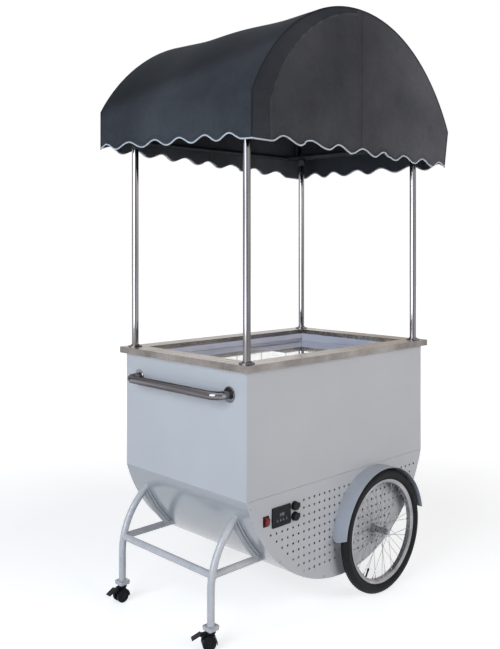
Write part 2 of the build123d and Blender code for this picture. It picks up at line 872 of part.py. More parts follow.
def make_yoke():
    radius = caster_wheel / 2
    axle_x = -caster_offset
    half = caster_web / 2
    top = caster_height - swivel_gap
    shoulder = top - yoke_shoulder_drop
    foot_back, foot_front, foot_height = yoke_foot
    points = [(-yoke_tail, height) for height in yoke_tail_heights]
    points += [(-yoke_shoulder, shoulder), (yoke_shoulder, shoulder), yoke_nose]
    points += [(foot_front, foot_height), (foot_back, foot_height)]
    yoke = side_slab(polygon(points), -half, half)
    yoke += rod_z(top - swivel_cap_height, top, 0, 0, swivel_cap / 2)
    wheel_face = half + caster_wheel_width + 3 * caster_running
    cap_face = wheel_face + caster_cap_gap
    reach = cap_face + caster_pin_cap
    yoke += rod_y(-reach, reach, axle_x, radius, caster_pin / 2)
    for sy in (-1, 1):
        y0, y1 = sorted((sy * cap_face, sy * reach))
        yoke += rod_y(y0, y1, axle_x, radius, caster_pin)
    hood_in = radius + hood_gap
    hood = Pos(axle_x, radius) * (Circle(hood_in + hood_thickness) - Circle(hood_in))
    hood &= Pos(axle_x, radius) * polygon(hood_wedge)
    yoke += side_slab(hood, -reach, reach)
    yoke += rod_y(-half - pedal_ear, half + pedal_ear, *pedal_pivot, pedal_pin / 2)
    bore_floor = caster_height - kingpin_length - swivel_gap
    yoke -= rod_z(bore_floor, top, 0, 0, kingpin / 2 + caster_running)
    return yoke


def make_caster_wheels():
    wheels = []
    near = caster_web / 2 + 3 * caster_running
    radius = caster_wheel / 2
    bore = caster_pin / 2 + caster_running
    for sy in (-1, 1):
        y0, y1 = sorted((sy * near, sy * (near + caster_wheel_width)))
        wheel = rod_y(y0, y1, -caster_offset, radius, radius)
        wheel = fillet(wheel.edges().filter_by(GeomType.CIRCLE), caster_wheel_round)
        wheels.append(wheel - rod_y(y0 - overcut, y1 + overcut, -caster_offset, radius, bore))
    return wheels


def make_pedal():
    px, pz = pedal_pivot
    tip_x, tip_z = pedal_tip
    ear_in = caster_web / 2 + pedal_ear_gap
    ear_out = caster_web / 2 + pedal_ear - pedal_ear_gap
    ears = []
    arm = Pos(px, pz) * polygon(pedal_arm)
    hole = Pos(px, pz) * Circle(pedal_pin / 2 + caster_running)
    ring = Pos(px, pz) * Circle(pedal_pin / 2 + pedal_ring)
    for sy in (-1, 1):
        y0, y1 = sorted((sy * ear_in, sy * ear_out))
        ears.append(side_slab(ring + arm - hole, y0, y1))
    near = [(px + dx, pz + dz) for dx, dz in pedal_root]
    far = [(tip_x + dx, tip_z + dz) for dx, dz in pedal_end]
    tread = side_slab(polygon(near + far), -pedal_width / 2, pedal_width / 2)
    return ears[0] + ears[1] + tread


# Bicycle wheel about the wheel line at y = wheel_plane
def turned(face):
    # a face drawn as width along X and radius along Y, spun about the axle and set on the wheel plane
    solid = revolve(face, axis=Axis.X)
    return Pos(wheel_line, wheel_plane, wheel_radius) * Rot(0, 0, 90) * solid


def valve_stem(middle, radius, length):
    spot = Pos(wheel_line, wheel_plane, wheel_radius) * Rot(0, -valve_angle, 0) * Rot(0, 90, 0)
    return spot * Pos(0, 0, middle) * Cylinder(radius, length)


def make_rim():
    half = rim_width / 2
    wall = half - rim_wall
    inner = rim_radius - rim_depth
    shoulder = tyre_seat - rim_shoulder
    right = [(half - rim_taper, inner), (half, shoulder), (half, rim_radius)]
    right += [(wall, rim_radius), (wall, tyre_seat)]
    outline = polygon(right + [(-x, z) for x, z in reversed(right)])
    floor = inner + rim_wall
    core = [(wall - rim_core_taper, floor), (wall, shoulder), (wall, tyre_seat - rim_wall)]
    box_core = polygon(core + [(-x, z) for x, z in reversed(core)])
    hole = valve_stem(rim_radius - rim_depth / 2, valve_diameter / 2 + valve_play, 2 * rim_depth)
    return turned(outline - box_core) - hole


def make_tyre():
    section = tyre_section / 2
    centre = wheel_radius - section
    half = rim_width / 2 - rim_wall
    outer = Pos(0, centre) * Circle(section)
    neck = area(-half, half, tyre_seat, centre - section / 2)
    clip = area(-section, section, tyre_seat, rim_radius) - area(-half, half, tyre_seat, rim_radius)
    body = (outer - clip) + neck
    air = Pos(0, centre) * Circle(section - tyre_casing)
    slot = area(-half + tyre_casing, half - tyre_casing, tyre_seat - overcut, centre)
    tread = turned(body - air - slot)
    return [tread, valve_stem(tyre_seat - valve_length / 2, valve_diameter / 2, valve_length)]


def make_hub():
    half = hub_width / 2
    flange = hub_flange_thickness / 2
    hub = rod_y(-half, half, 0, 0, hub_barrel / 2)
    for sy in (-1, 1):
        y = sy * hub_flange_spread / 2
        hub += rod_y(y - flange, y + flange, 0, 0, hub_flange / 2)
    hub -= rod_y(-half, half, 0, 0, axle_diameter / 2 + axle_running)
    return Pos(wheel_line, wheel_plane, wheel_radius) * hub


def make_spokes():
    spokes = []
    per_side = spoke_count // 2
    hole_radius = hub_flange / 2 + spoke_diameter / 2 + spoke_hub_gap
    lace = spoke_cross * 360 / per_side
    for side in (-1, 1):
        for index in range(per_side):
            lean = 1 if index % 2 == 0 else -1
            hub_angle = math.radians((index + 0.25 * (side + 1)) * 360 / per_side)
            rim_angle = hub_angle + math.radians(lean * lace)
            hub_y = side * (hub_flange_spread / 2 + lean * spoke_step)
            start = (hole_radius * math.cos(hub_angle), hub_y, hole_radius * math.sin(hub_angle))
            reach = rim_radius - rim_depth - spoke_rim_gap
            end = (reach * math.cos(rim_angle), side * spoke_rim_offset, reach * math.sin(rim_angle))
            path = Line(start, end)
            spoke = sweep(Plane(origin=start, z_dir=path % 0) * Circle(spoke_diameter / 2), path=path)
            spokes.append(Pos(wheel_line, wheel_plane, wheel_radius) * spoke)
    return spokes


def make_axle():
    nut_start = hub_outer + spacer_gap
    end = nut_start + nut_thickness + axle_end
    pieces = [rod_y(-end, end, wheel_line, wheel_radius, axle_diameter / 2)]
    for sy in (-1, 1):
        y0, y1 = sorted((sy * half_body_y, sy * (hub_inner - spacer_gap)))
        sleeve = rod_y(y0, y1, wheel_line, wheel_radius, spacer_diameter / 2)
        pieces.append(sleeve - rod_y(y0, y1, wheel_line, wheel_radius, axle_diameter / 2 + axle_running))
        nut = RegularPolygon(nut_across / 2, 6, major_radius=False) - Circle(axle_diameter / 2 + axle_running)
        y0, y1 = sorted((sy * nut_start, sy * (nut_start + nut_thickness)))
        pieces.append(side_slab(Pos(wheel_line, wheel_radius) * nut, y0, y1))
    return pieces


# Mudguard: a rolled strip with three welded tabs that lie on the panel
def make_guard():
    ring = Circle(guard_radius + guard_sheet) - Circle(guard_radius)
    arc = Pos(wheel_line, wheel_radius) * (ring & sector(guard_start, guard_end))
    strip = side_slab(arc, half_body_y, half_body_y + guard_width)
    straight = strip.edges().filter_by(GeomType.LINE)
    near = [edge for edge in straight if abs(edge.center().Y - half_body_y) < 0.01]
    strip = fillet(near, guard_corner)
    # the front end rises from its rounded corner to the outer edge
    end_x = wheel_line - guard_radius
    end_z = wheel_radius + guard_radius * math.sin(math.radians(guard_end))
    outer_y = half_body_y + guard_width + overcut
    wedge = [(half_body_y + guard_corner, end_z), (outer_y, end_z + guard_slant), (outer_y, end_z - overcut)]
    wedge.append((half_body_y + guard_corner, end_z - overcut))
    across = Plane(origin=(end_x - guard_tab, 0, 0), x_dir=(0, 1, 0), z_dir=(1, 0, 0))
    strip -= extrude(across * polygon(wedge), 2 * guard_tab)
    tab_half = math.degrees(guard_tab / 2 / guard_radius)
    for angle in guard_tab_angles:
        place = sector(angle - tab_half, angle + tab_half)
        along = Circle(guard_radius) - Circle(guard_radius - guard_sheet)
        along = Pos(wheel_line, wheel_radius) * (along & place)
        flat = Circle(guard_radius) - Circle(guard_radius - guard_tab)
        flat = Pos(wheel_line, wheel_radius) * (flat & place)
        strip += side_slab(along, half_body_y, half_body_y + guard_tab)
        strip += side_slab(flat, half_body_y, half_body_y + guard_sheet)
        strip -= radial_hole(angle, guard_radius)
    return strip


def sector(start, end):
    reach = 2 * wheel_radius
    points = [(0, 0)]
    steps = 6
    for step in range(steps + 1):
        turn = math.radians(start + (end - start) * step / steps)
        points.append((reach * math.cos(turn), reach * math.sin(turn)))
    return polygon(points)


def rivet_spot(angle, radius):
    about = Pos(wheel_line, half_body_y + guard_rivet_line, wheel_radius) * Rot(0, -angle, 0) * Rot(0, 90, 0)
    return about * Pos(0, 0, radius)


def radial_hole(angle, radius):
    return rivet_spot(angle, radius) * Cylinder(screw_shank / 2, guard_tab)


def guard_rivets():
    radius = guard_radius + guard_sheet
    return [rivet_spot(angle, radius) * screw(guard_rivet_reach) for angle in guard_tab_angles]


# Screws and rivets, head up at the origin and shank down
def screw(reach):
    head = Pos(0, 0, screw_head_height / 2) * Cylinder(screw_head / 2, screw_head_height)
    head = fillet(head.edges().group_by(Axis.Z)[-1], screw_head_round)
    return head + Pos(0, 0, -reach / 2) * Cylinder(screw_shank / 2, reach)


def make_screws():
    screws = []
    for side in (-1, 1):
        face = side * half_body_y
        turn = Rot(90, 0, 0) if side < 0 else Rot(-90, 0, 0)
        for x, z in panel_screw_places:
            screws.append(Pos(x, face, z) * turn * screw(screw_reach))
        for x, y in caster_screw_places():
            reach = foot_plate_thickness + caster_plate_thickness
            screws.append(Pos(x, side * y, leg_foot + foot_plate_thickness) * screw(reach))
        for rivet in guard_rivets():
            screws.append(rivet if side > 0 else mirrored(rivet))
    return screws


# Controls
def make_switch_housing():
    x, z = switch_at
    in_x = switch_width / 2 + switch_play
    in_z = switch_radius + switch_play
    back_x = in_x + switch_frame / 2
    back_z = in_z + switch_frame / 2
    out_x = in_x + switch_frame
    out_z = in_z + switch_frame
    bottom = panel_face + switch_depth
    body = block(x - back_x, x + back_x, panel_face, bottom, z - back_z, z + back_z)
    body += block(x - out_x, x + out_x, panel_face - switch_flange, panel_face, z - out_z, z + out_z)
    body -= block(x - in_x, x + in_x, panel_face - switch_flange, bottom - case_wall, z - in_z, z + in_z)
    pivot_y = panel_face - switch_pivot_out
    return body - rod_x(x - out_x, x + out_x, pivot_y, z, switch_pin / 2 + button_play)


def make_rocker():
    # drawn in Y and Z about its pivot: a round-ended bar with a shallow V face, tilted to one side
    out = -switch_face
    tip = out - switch_dish
    back = [(switch_back, -switch_radius), (switch_back, switch_radius)]
    face = polygon(back + [(tip, switch_radius), (out, 0), (tip, -switch_radius)])
    bar = Circle(switch_radius) & face
    x, z = switch_at
    pivot_y = panel_face - switch_pivot_out
    half = switch_width / 2
    solid = end_slab(Rot(0, 0, switch_tilt) * bar, -half, half)
    solid += rod_x(-half - switch_frame / 2, half + switch_frame / 2, 0, 0, switch_pin / 2)
    return Pos(x, pivot_y, z) * solid


def make_case():
    x, z = case_at
    width, height = case_size
    front = panel_face - case_proud
    bezel = side_slab(Pos(x, z) * RectangleRounded(width, height, case_corner), front, panel_face)
    back_x = width / 2 - case_margin
    back_z = height / 2 - case_margin
    back = panel_face + case_depth
    body = block(x - back_x, x + back_x, panel_face, back, z - back_z, z + back_z)
    in_x = back_x - case_wall
    in_z = back_z - case_wall
    core = block(x - in_x, x + in_x, panel_face, back - case_wall, z - in_z, z + in_z)
    case = bezel + (body - core)
    case -= side_slab(Pos(*window_at) * Rectangle(*window_size), front, front + window_sink)
    button_floor = front + button_seat + button_travel
    for place in button_places:
        case -= rod_y(front, button_floor, place, button_row, button_diameter / 2 + button_play)
    return case


def make_button(place):
    front = panel_face - case_proud
    back = front + button_seat - button_back_gap
    button = rod_y(front - button_proud, back, place, button_row, button_diameter / 2)
    return fillet(button.edges().group_by(Axis.Y)[0], button_round)


def make_outlet(z):
    front = panel_face - outlet_flange_thickness
    body = rod_y(front, panel_face, outlet_line, z, outlet_flange / 2)
    body += rod_y(panel_face, panel_face + outlet_depth, outlet_line, z, outlet_barrel / 2)
    hinge_x = outlet_line + cap_diameter / 2 + cap_hinge_beyond
    hinge_y = front - cap_hinge_out
    half = cap_knuckle_length / 2 + cap_gap
    for sz in (-1, 1):
        z0, z1 = sorted((z + sz * half, z + sz * (half + cap_ear)))
        far_x = hinge_x + cap_knuckle / 2
        leaf = front + cap_ear_leaf
        ear = rod_z(z0, z1, hinge_x, hinge_y, cap_knuckle / 2)
        ear += block(hinge_x - cap_knuckle / 2, far_x, hinge_y, leaf, z0, z1)
        ear += block(hinge_x - cap_ear_reach, far_x, front, leaf, z0, z1)
        body += ear
        body -= rod_z(z0, z1, hinge_x, hinge_y, cap_pin / 2 + button_play)
    body -= rod_y(front, front + outlet_bore_depth, outlet_line, z, outlet_bore / 2)
    return body


def make_cap(z):
    front = panel_face - outlet_flange_thickness
    back = front - cap_gap
    hinge_x = outlet_line + cap_diameter / 2 + cap_hinge_beyond
    hinge_y = front - cap_hinge_out
    cap = rod_y(back - cap_thickness, back, outlet_line, z, cap_diameter / 2)
    cap = fillet(cap.edges().group_by(Axis.Y)[0], cap_round)
    half = cap_knuckle_length / 2
    cap += rod_z(z - half, z + half, hinge_x, hinge_y, cap_knuckle / 2)
    leaf_x = outlet_line + cap_diameter / 4
    cap += block(leaf_x, hinge_x, hinge_y - cap_knuckle / 2, hinge_y + cap_leaf_over, z - half, z + half)
    lift_x = outlet_line - cap_diameter / 2 - cap_lift_reach
    lift_out, lift_in = cap_lift_depths
    cap += block(lift_x, outlet_line, back - lift_out, back - lift_in, z - cap_lift_half, z + cap_lift_half)
    pin_half = half + cap_gap + cap_ear
    return cap + rod_z(z - pin_half, z + pin_half, hinge_x, hinge_y, cap_pin / 2)


# Cooling machinery
tray_floor = tray_height + tray_sheet


def make_compressor():
    x, y = compressor_at
    radius = compressor_diameter / 2
    low = tray_floor + compressor_foot
    shell = rod_z(low, low + compressor_height, x, y, radius)
    shell = fillet(shell.edges().filter_by(GeomType.CIRCLE), compressor_round)
    half = compressor_base_half
    shell += block(x - radius, x + radius, y - half, y + half, low, low + compressor_base)
    for sx in (-1, 1):
        for sy in (-1, 1):
            foot_x = x + sx * compressor_feet[0]
            foot_y = y + sy * compressor_feet[1]
            shell += rod_z(tray_floor, low + compressor_base / 2, foot_x, foot_y, compressor_foot)
    return shell


def make_condenser():
    x0, x1, y0, y1 = condenser_box
    low = tray_floor
    high = low + condenser_height
    inset, margin = condenser_fin_inset
    members = block(x0, x0 + condenser_side, y0, y1, low, high)
    members += block(x1 - condenser_side, x1, y0, y1, low, high)
    fins = []
    for index in range(1, int((x1 - x0) / condenser_fin_pitch)):
        x = x0 + index * condenser_fin_pitch
        fins.append(block(x, x + condenser_fin, y0 + inset, y1 - inset, low + margin, high - margin))
    tubes = []
    for row in range(int(condenser_height / condenser_tube_pitch)):
        z = low + condenser_tube_start + row * condenser_tube_pitch
        for depth in condenser_tube_rows:
            tubes.append(rod_x(x0, x1, y0 + depth, z, condenser_tube / 2))
    return members + fins + tubes


def fan_centre():
    x0, x1, _, y1 = condenser_box
    return (x0 + x1) / 2, y1 + fan_gap, tray_floor + condenser_height / 2


def make_fan_motor():
    x, y, z = fan_centre()
    start = y + fan_width + fan_gap
    body = rod_y(start, start + fan_motor_length, x, z, fan_motor_diameter / 2)
    body = fillet(body.edges().filter_by(GeomType.CIRCLE), fan_motor_round)
    middle = start + fan_motor_length / 2
    half_x, half_y = fan_stand
    stand = block(x - half_x, x + half_x, middle - half_y, middle + half_y, tray_floor, z)
    half_x, half_y, thickness = fan_stand_foot
    foot_top = tray_floor + thickness
    stand += block(x - half_x, x + half_x, middle - half_y, middle + half_y, tray_floor, foot_top)
    return body + stand + rod_y(y + fan_shaft_seat, start, x, z, fan_shaft / 2)


def make_fan():
    x, y, z = fan_centre()
    root = fan_hub / 2 - fan_blade_root
    reach = fan_radius - root
    blade = Rot(fan_blade_twist, 0, 0) * Box(reach, fan_blade_sheet, fan_blade_width)
    blade = Pos(root + reach / 2, y + fan_width / 2, 0) * blade
    blades = [Rot(0, 360 * index / fan_blade_count, 0) * blade for index in range(fan_blade_count)]
    hub = rod_y(y, y + fan_width, 0, 0, fan_hub / 2)
    fan = (hub + blades) & rod_y(y, y + fan_width, 0, 0, fan_radius)
    fan -= rod_y(y + fan_shaft_seat, y + fan_width, 0, 0, fan_shaft / 2 + axle_running)
    return Pos(x, 0, z) * fan


def main():
    os.makedirs("parts", exist_ok=True)
    save("worktop", make_worktop())
    save("end_panel_handle", make_end_panel(-1))
    save("end_panel_far", make_end_panel(1))
    save("belly_panel", make_belly())
    for name, side in (("right", -1), ("left", 1)):
        save("side_panel_" + name, make_side_panel(side))
        save("vent_panel_" + name, make_vent_panel(side))
    save("body_frame", *make_frame())
    save("tub_liner", make_liner())
    save("tub_foam", make_foam())
    save("evaporator_coil", *make_coil())
    save("lid_track", make_track())
    lower, upper = lid_grooves()
    save("lid_upper", make_lid(-1, upper))
    save("lid_lower", make_lid(1, lower))
    save("lid_pull_upper", make_pull(-1, upper, pull_height, pull_scoop))
    save("lid_pull_lower", make_pull(1, lower, low_pull_height, low_pull_scoop))
    save("canopy_poles", *make_poles())
    save("tube_flanges", *make_flanges())
    save("canopy_vault", make_vault())
    save("canopy_end_panels", *make_canopy_ends())
    save("canopy_frame", *make_canopy_frame())
    save("handle_bar", make_handle())
    save("legs", make_leg(), mirrored(make_leg()))
    save("leg_stays", make_stay(), mirrored(make_stay()), make_saddle(), mirrored(make_saddle()))
    save("leg_cross_tube", make_cross_tube())
    save("caster_plates", make_caster_plate(), mirrored(make_caster_plate()))
    for name, side in (("right", -1), ("left", 1)):
        place = caster_place(side)
        save("caster_yoke_" + name, place * make_yoke())
        save("caster_wheels_" + name, *[place * wheel for wheel in make_caster_wheels()])
        save("caster_pedal_" + name, place * make_pedal())
    wheel_parts = [("rim", [make_rim()]), ("tyre", make_tyre()), ("hub", [make_hub()])]
    wheel_parts.append(("spokes", make_spokes()))
    for name, solids in wheel_parts:
        save(name + "_left", *solids)
        save(name + "_right", *[mirrored(solid) for solid in solids])
    save("axle", *make_axle())
    guard = make_guard()
    save("mudguard_left", guard)
    save("mudguard_right", mirrored(guard))
    save("screws", *make_screws())
    save("switch_housing", make_switch_housing())
    save("switch_rocker", make_rocker())
    save("controller_case", make_case())
    for index, place in enumerate(button_places):
        save("controller_button_" + str(index + 1), make_button(place))
    save("outlet_bodies", *[make_outlet(z) for z in outlet_heights])
    save("outlet_cap_upper", make_cap(outlet_heights[0]))
    save("outlet_cap_lower", make_cap(outlet_heights[1]))
    save("compressor", make_compressor())
    save("condenser", make_condenser())
    save("fan_motor", make_fan_motor())
    save("fan_blades", make_fan())


main()
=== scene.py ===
import math

import bmesh
import bpy
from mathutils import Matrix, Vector, noise


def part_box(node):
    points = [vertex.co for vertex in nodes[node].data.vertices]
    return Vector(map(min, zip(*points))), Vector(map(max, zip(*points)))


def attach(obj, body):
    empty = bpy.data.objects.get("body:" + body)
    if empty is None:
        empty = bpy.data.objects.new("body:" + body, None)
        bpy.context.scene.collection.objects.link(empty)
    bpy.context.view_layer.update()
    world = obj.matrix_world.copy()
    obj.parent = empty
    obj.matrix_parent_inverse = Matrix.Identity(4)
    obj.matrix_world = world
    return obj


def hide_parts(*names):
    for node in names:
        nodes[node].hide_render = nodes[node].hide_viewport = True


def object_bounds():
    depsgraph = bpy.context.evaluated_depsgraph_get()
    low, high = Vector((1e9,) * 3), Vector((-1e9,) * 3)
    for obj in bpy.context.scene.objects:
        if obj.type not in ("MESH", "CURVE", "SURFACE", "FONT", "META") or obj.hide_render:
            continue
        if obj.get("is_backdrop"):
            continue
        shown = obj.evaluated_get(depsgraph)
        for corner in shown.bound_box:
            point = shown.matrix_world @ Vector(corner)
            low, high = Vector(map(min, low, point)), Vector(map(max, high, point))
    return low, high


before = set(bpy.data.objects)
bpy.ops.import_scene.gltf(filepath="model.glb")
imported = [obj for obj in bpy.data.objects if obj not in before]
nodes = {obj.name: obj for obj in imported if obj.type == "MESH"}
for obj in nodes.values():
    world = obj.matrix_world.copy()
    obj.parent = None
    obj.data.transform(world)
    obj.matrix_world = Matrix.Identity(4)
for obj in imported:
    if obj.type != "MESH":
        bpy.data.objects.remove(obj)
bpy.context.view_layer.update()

print("frame loaded:", len(nodes), "nodes")

# places that several pieces share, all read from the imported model
deckLow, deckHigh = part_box("worktop")
middleX = (deckLow.x + deckHigh.x) / 2      # the cart's own middle; the frame's zero is the bounding box's
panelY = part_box("vent_panel_right")[0].y    # outer face on the control side
bothSides = (("right", -1), ("left", 1))    # each side, and the way it faces along Y


# small helpers for meshes

def addPiece(name, verts, faces, material, body, slot=None, smooth=True):
    mesh = bpy.data.meshes.new(name)
    mesh.from_pydata([tuple(v) for v in verts], [], faces)
    mesh.validate()
    mesh.update()
    for face in mesh.polygons:
        face.use_smooth = smooth
    mesh.materials.append(material)
    piece = bpy.data.objects.new(name, mesh)
    bpy.context.scene.collection.objects.link(piece)
    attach(piece, body)
    return piece


def sideways(direction):
    # two directions square to this one
    along = Vector(direction).normalized()
    first = along.cross(Vector((0, 0, 1)))
    if first.length < 0.05:
        first = along.cross(Vector((0, 1, 0)))
    first.normalize()
    return first, along.cross(first).normalized()


def tubeMesh(path, radius, sides=12, closed=False):
    # radius is a number or a function of the point's index; the frame is carried along so that nothing twists
    verts, faces = [], []
    count = len(path)
    first = None
    for i, point in enumerate(path):
        before = path[i - 1] if closed or i > 0 else point
        after = path[(i + 1) % count] if closed or i < count - 1 else point
        along = (Vector(after) - Vector(before)).normalized()
        if first is None:
            first, second = sideways(along)
        else:
            first = (first - along * first.dot(along)).normalized()
            second = along.cross(first).normalized()
        r = radius(i) if callable(radius) else radius
        for k in range(sides):
            turn = 2 * math.pi * k / sides
            verts.append(Vector(point) + r * (math.cos(turn) * first + math.sin(turn) * second))
    for i in range(count if closed else count - 1):
        here, there = i * sides, (i + 1) % count * sides
        for k in range(sides):
            beside = (k + 1) % sides
            faces.append((here + k, here + beside, there + beside, there + k))
    if not closed:
        faces.append(tuple(range(sides - 1, -1, -1)))
        faces.append(tuple((count - 1) * sides + k for k in range(sides)))
    return verts, faces


def ringPath(centre, radius, steps, flat=(1, 0, 0)):
    # points round an upright circle
    turns = [2 * math.pi * k / steps for k in range(steps)]
    return [centre + radius * (math.cos(a) * Vector(flat) + math.sin(a) * Vector((0, 0, 1))) for a in turns]


def lathe(profile, centre, axis, steps=64, shape=None):
    # profile is a list of (distance along the axis, radius); shape bends the radius by turn
    along = Vector(axis).normalized()
    first, second = sideways(along)
    verts, faces = [], []
    for step in range(steps):
        turn = 2 * math.pi * step / steps
        outward = math.cos(turn) * first + math.sin(turn) * second
        for j, (distance, radius) in enumerate(profile):
            r = radius if shape is None else shape(j, step, radius)
            verts.append(Vector(centre) + along * distance + outward * r)
    count = len(profile)
    for step in range(steps):
        for j in range(count - 1):
            a = step * count + j
            b = ((step + 1) % steps) * count + j
            faces.append((a, b, b + 1, a + 1))
    return verts, faces


boxFaces = [(0, 1, 3, 2), (4, 6, 7, 5), (0, 4, 5, 1), (2, 3, 7, 6), (0, 2, 6, 4), (1, 5, 7, 3)]


def joined(parts):
    # several (verts, faces) as one
    verts, faces = [], []
    for partVerts, partFaces in parts:
        start = len(verts)
        verts.extend(partVerts)
        faces.extend(tuple(i + start for i in face) for face in partFaces)
    return verts, faces


# small helpers for materials; owner is a material or the world

def startMaterial(name):
    material = bpy.data.materials.new(name)
    material.use_nodes = True
    return material, material.node_tree.nodes["Principled BSDF"]


def feed(owner, node, inputs):
    # each input gets a plain value, or the output that is wired to it
    for key, value in inputs.items():
        if isinstance(value, bpy.types.NodeSocket):
            owner.node_tree.links.new(value, node.inputs[key])
        else:
            node.inputs[key].default_value = value


def addNode(owner, kind, inputs=None, **settings):
    node = owner.node_tree.nodes.new("ShaderNode" + kind)
    for key, value in settings.items():
        setattr(node, key, value)
    feed(owner, node, inputs or {})
    return node


def objectPlace(owner):
    return addNode(owner, "TexCoord").outputs["Object"]


def calculate(owner, operation, *terms):
    return addNode(owner, "Math", dict(enumerate(terms)), operation=operation).outputs[0]


def clouds(owner, scale, detail, roughness=0.5, vector=None):
    # soft noise from 0 to 1
    vector = objectPlace(owner) if vector is None else vector
    inputs = {"Vector": vector, "Scale": scale, "Detail": detail, "Roughness": roughness}
    return addNode(owner, "TexNoise", inputs).outputs["Fac"]


def twoTones(owner, factor, dark, light, low=0.3, high=0.7):
    ramp = addNode(owner, "ValToRGB", {"Fac": factor})
    for element, place, tone in zip(ramp.color_ramp.elements, (low, high), (dark, light)):
        element.position = place
        element.color = (*tone, 1)
    return ramp.outputs["Color"]


def spread(owner, factor, low, high):
    # takes a 0 to 1 value to the range from low to high
    return addNode(owner, "MapRange", {"Value": factor, "To Min": low, "To Max": high}).outputs["Result"]


def ramped(owner, value, low, high, **more):
    # takes a value in the range from low to high to 0 to 1, or to the range in more
    inputs = {"Value": value, "From Min": low, "From Max": high, **more}
    return addNode(owner, "MapRange", inputs).outputs["Result"]


def relief(owner, height, strength, depth):
    inputs = {"Height": height, "Strength": strength, "Distance": depth}
    return addNode(owner, "Bump", inputs).outputs["Normal"]


def finishedSurface(name, dark, light, patchScale, grainScale, roughness, bumps, more):
    # two tones in soft patches, roughness that varies, and a fine relief
    material, shader = startMaterial(name)
    scales = [more.get(key, (1, 1, 1)) for key in ("stretch", "patchStretch")]
    coords = objectPlace(material)
    place, patchPlace = [addNode(material, "Mapping", {"Vector": coords, "Scale": scale}).outputs[0]
                         for scale in scales]
    patches = clouds(material, patchScale, 5.0, 0.55, patchPlace)
    grain = clouds(material, grainScale, 3.0, vector=place)
    rough = clouds(material, patchScale * 3, 4.0, vector=place)
    feed(material, shader, {
        "Base Color": twoTones(material, patches, dark, light),
        "Roughness": spread(material, rough, *roughness),
        "Normal": relief(material, grain, bumps, more.get("bumpDepth", 0.0004)),
        "Metallic": more.get("metallic", 0.0),
        "Coat Weight": more.get("coat", 0.0),
        "Coat Roughness": more.get("coatRoughness", 0.1),
        "Anisotropic": more.get("anisotropic", 0.0),
        "Specular IOR Level": more.get("specular", 0.5),
        # of a metal this is what it still reflects at a low angle
        "Specular Tint": (*more.get("edgeTint", (1, 1, 1)), 1),
    })
    return material


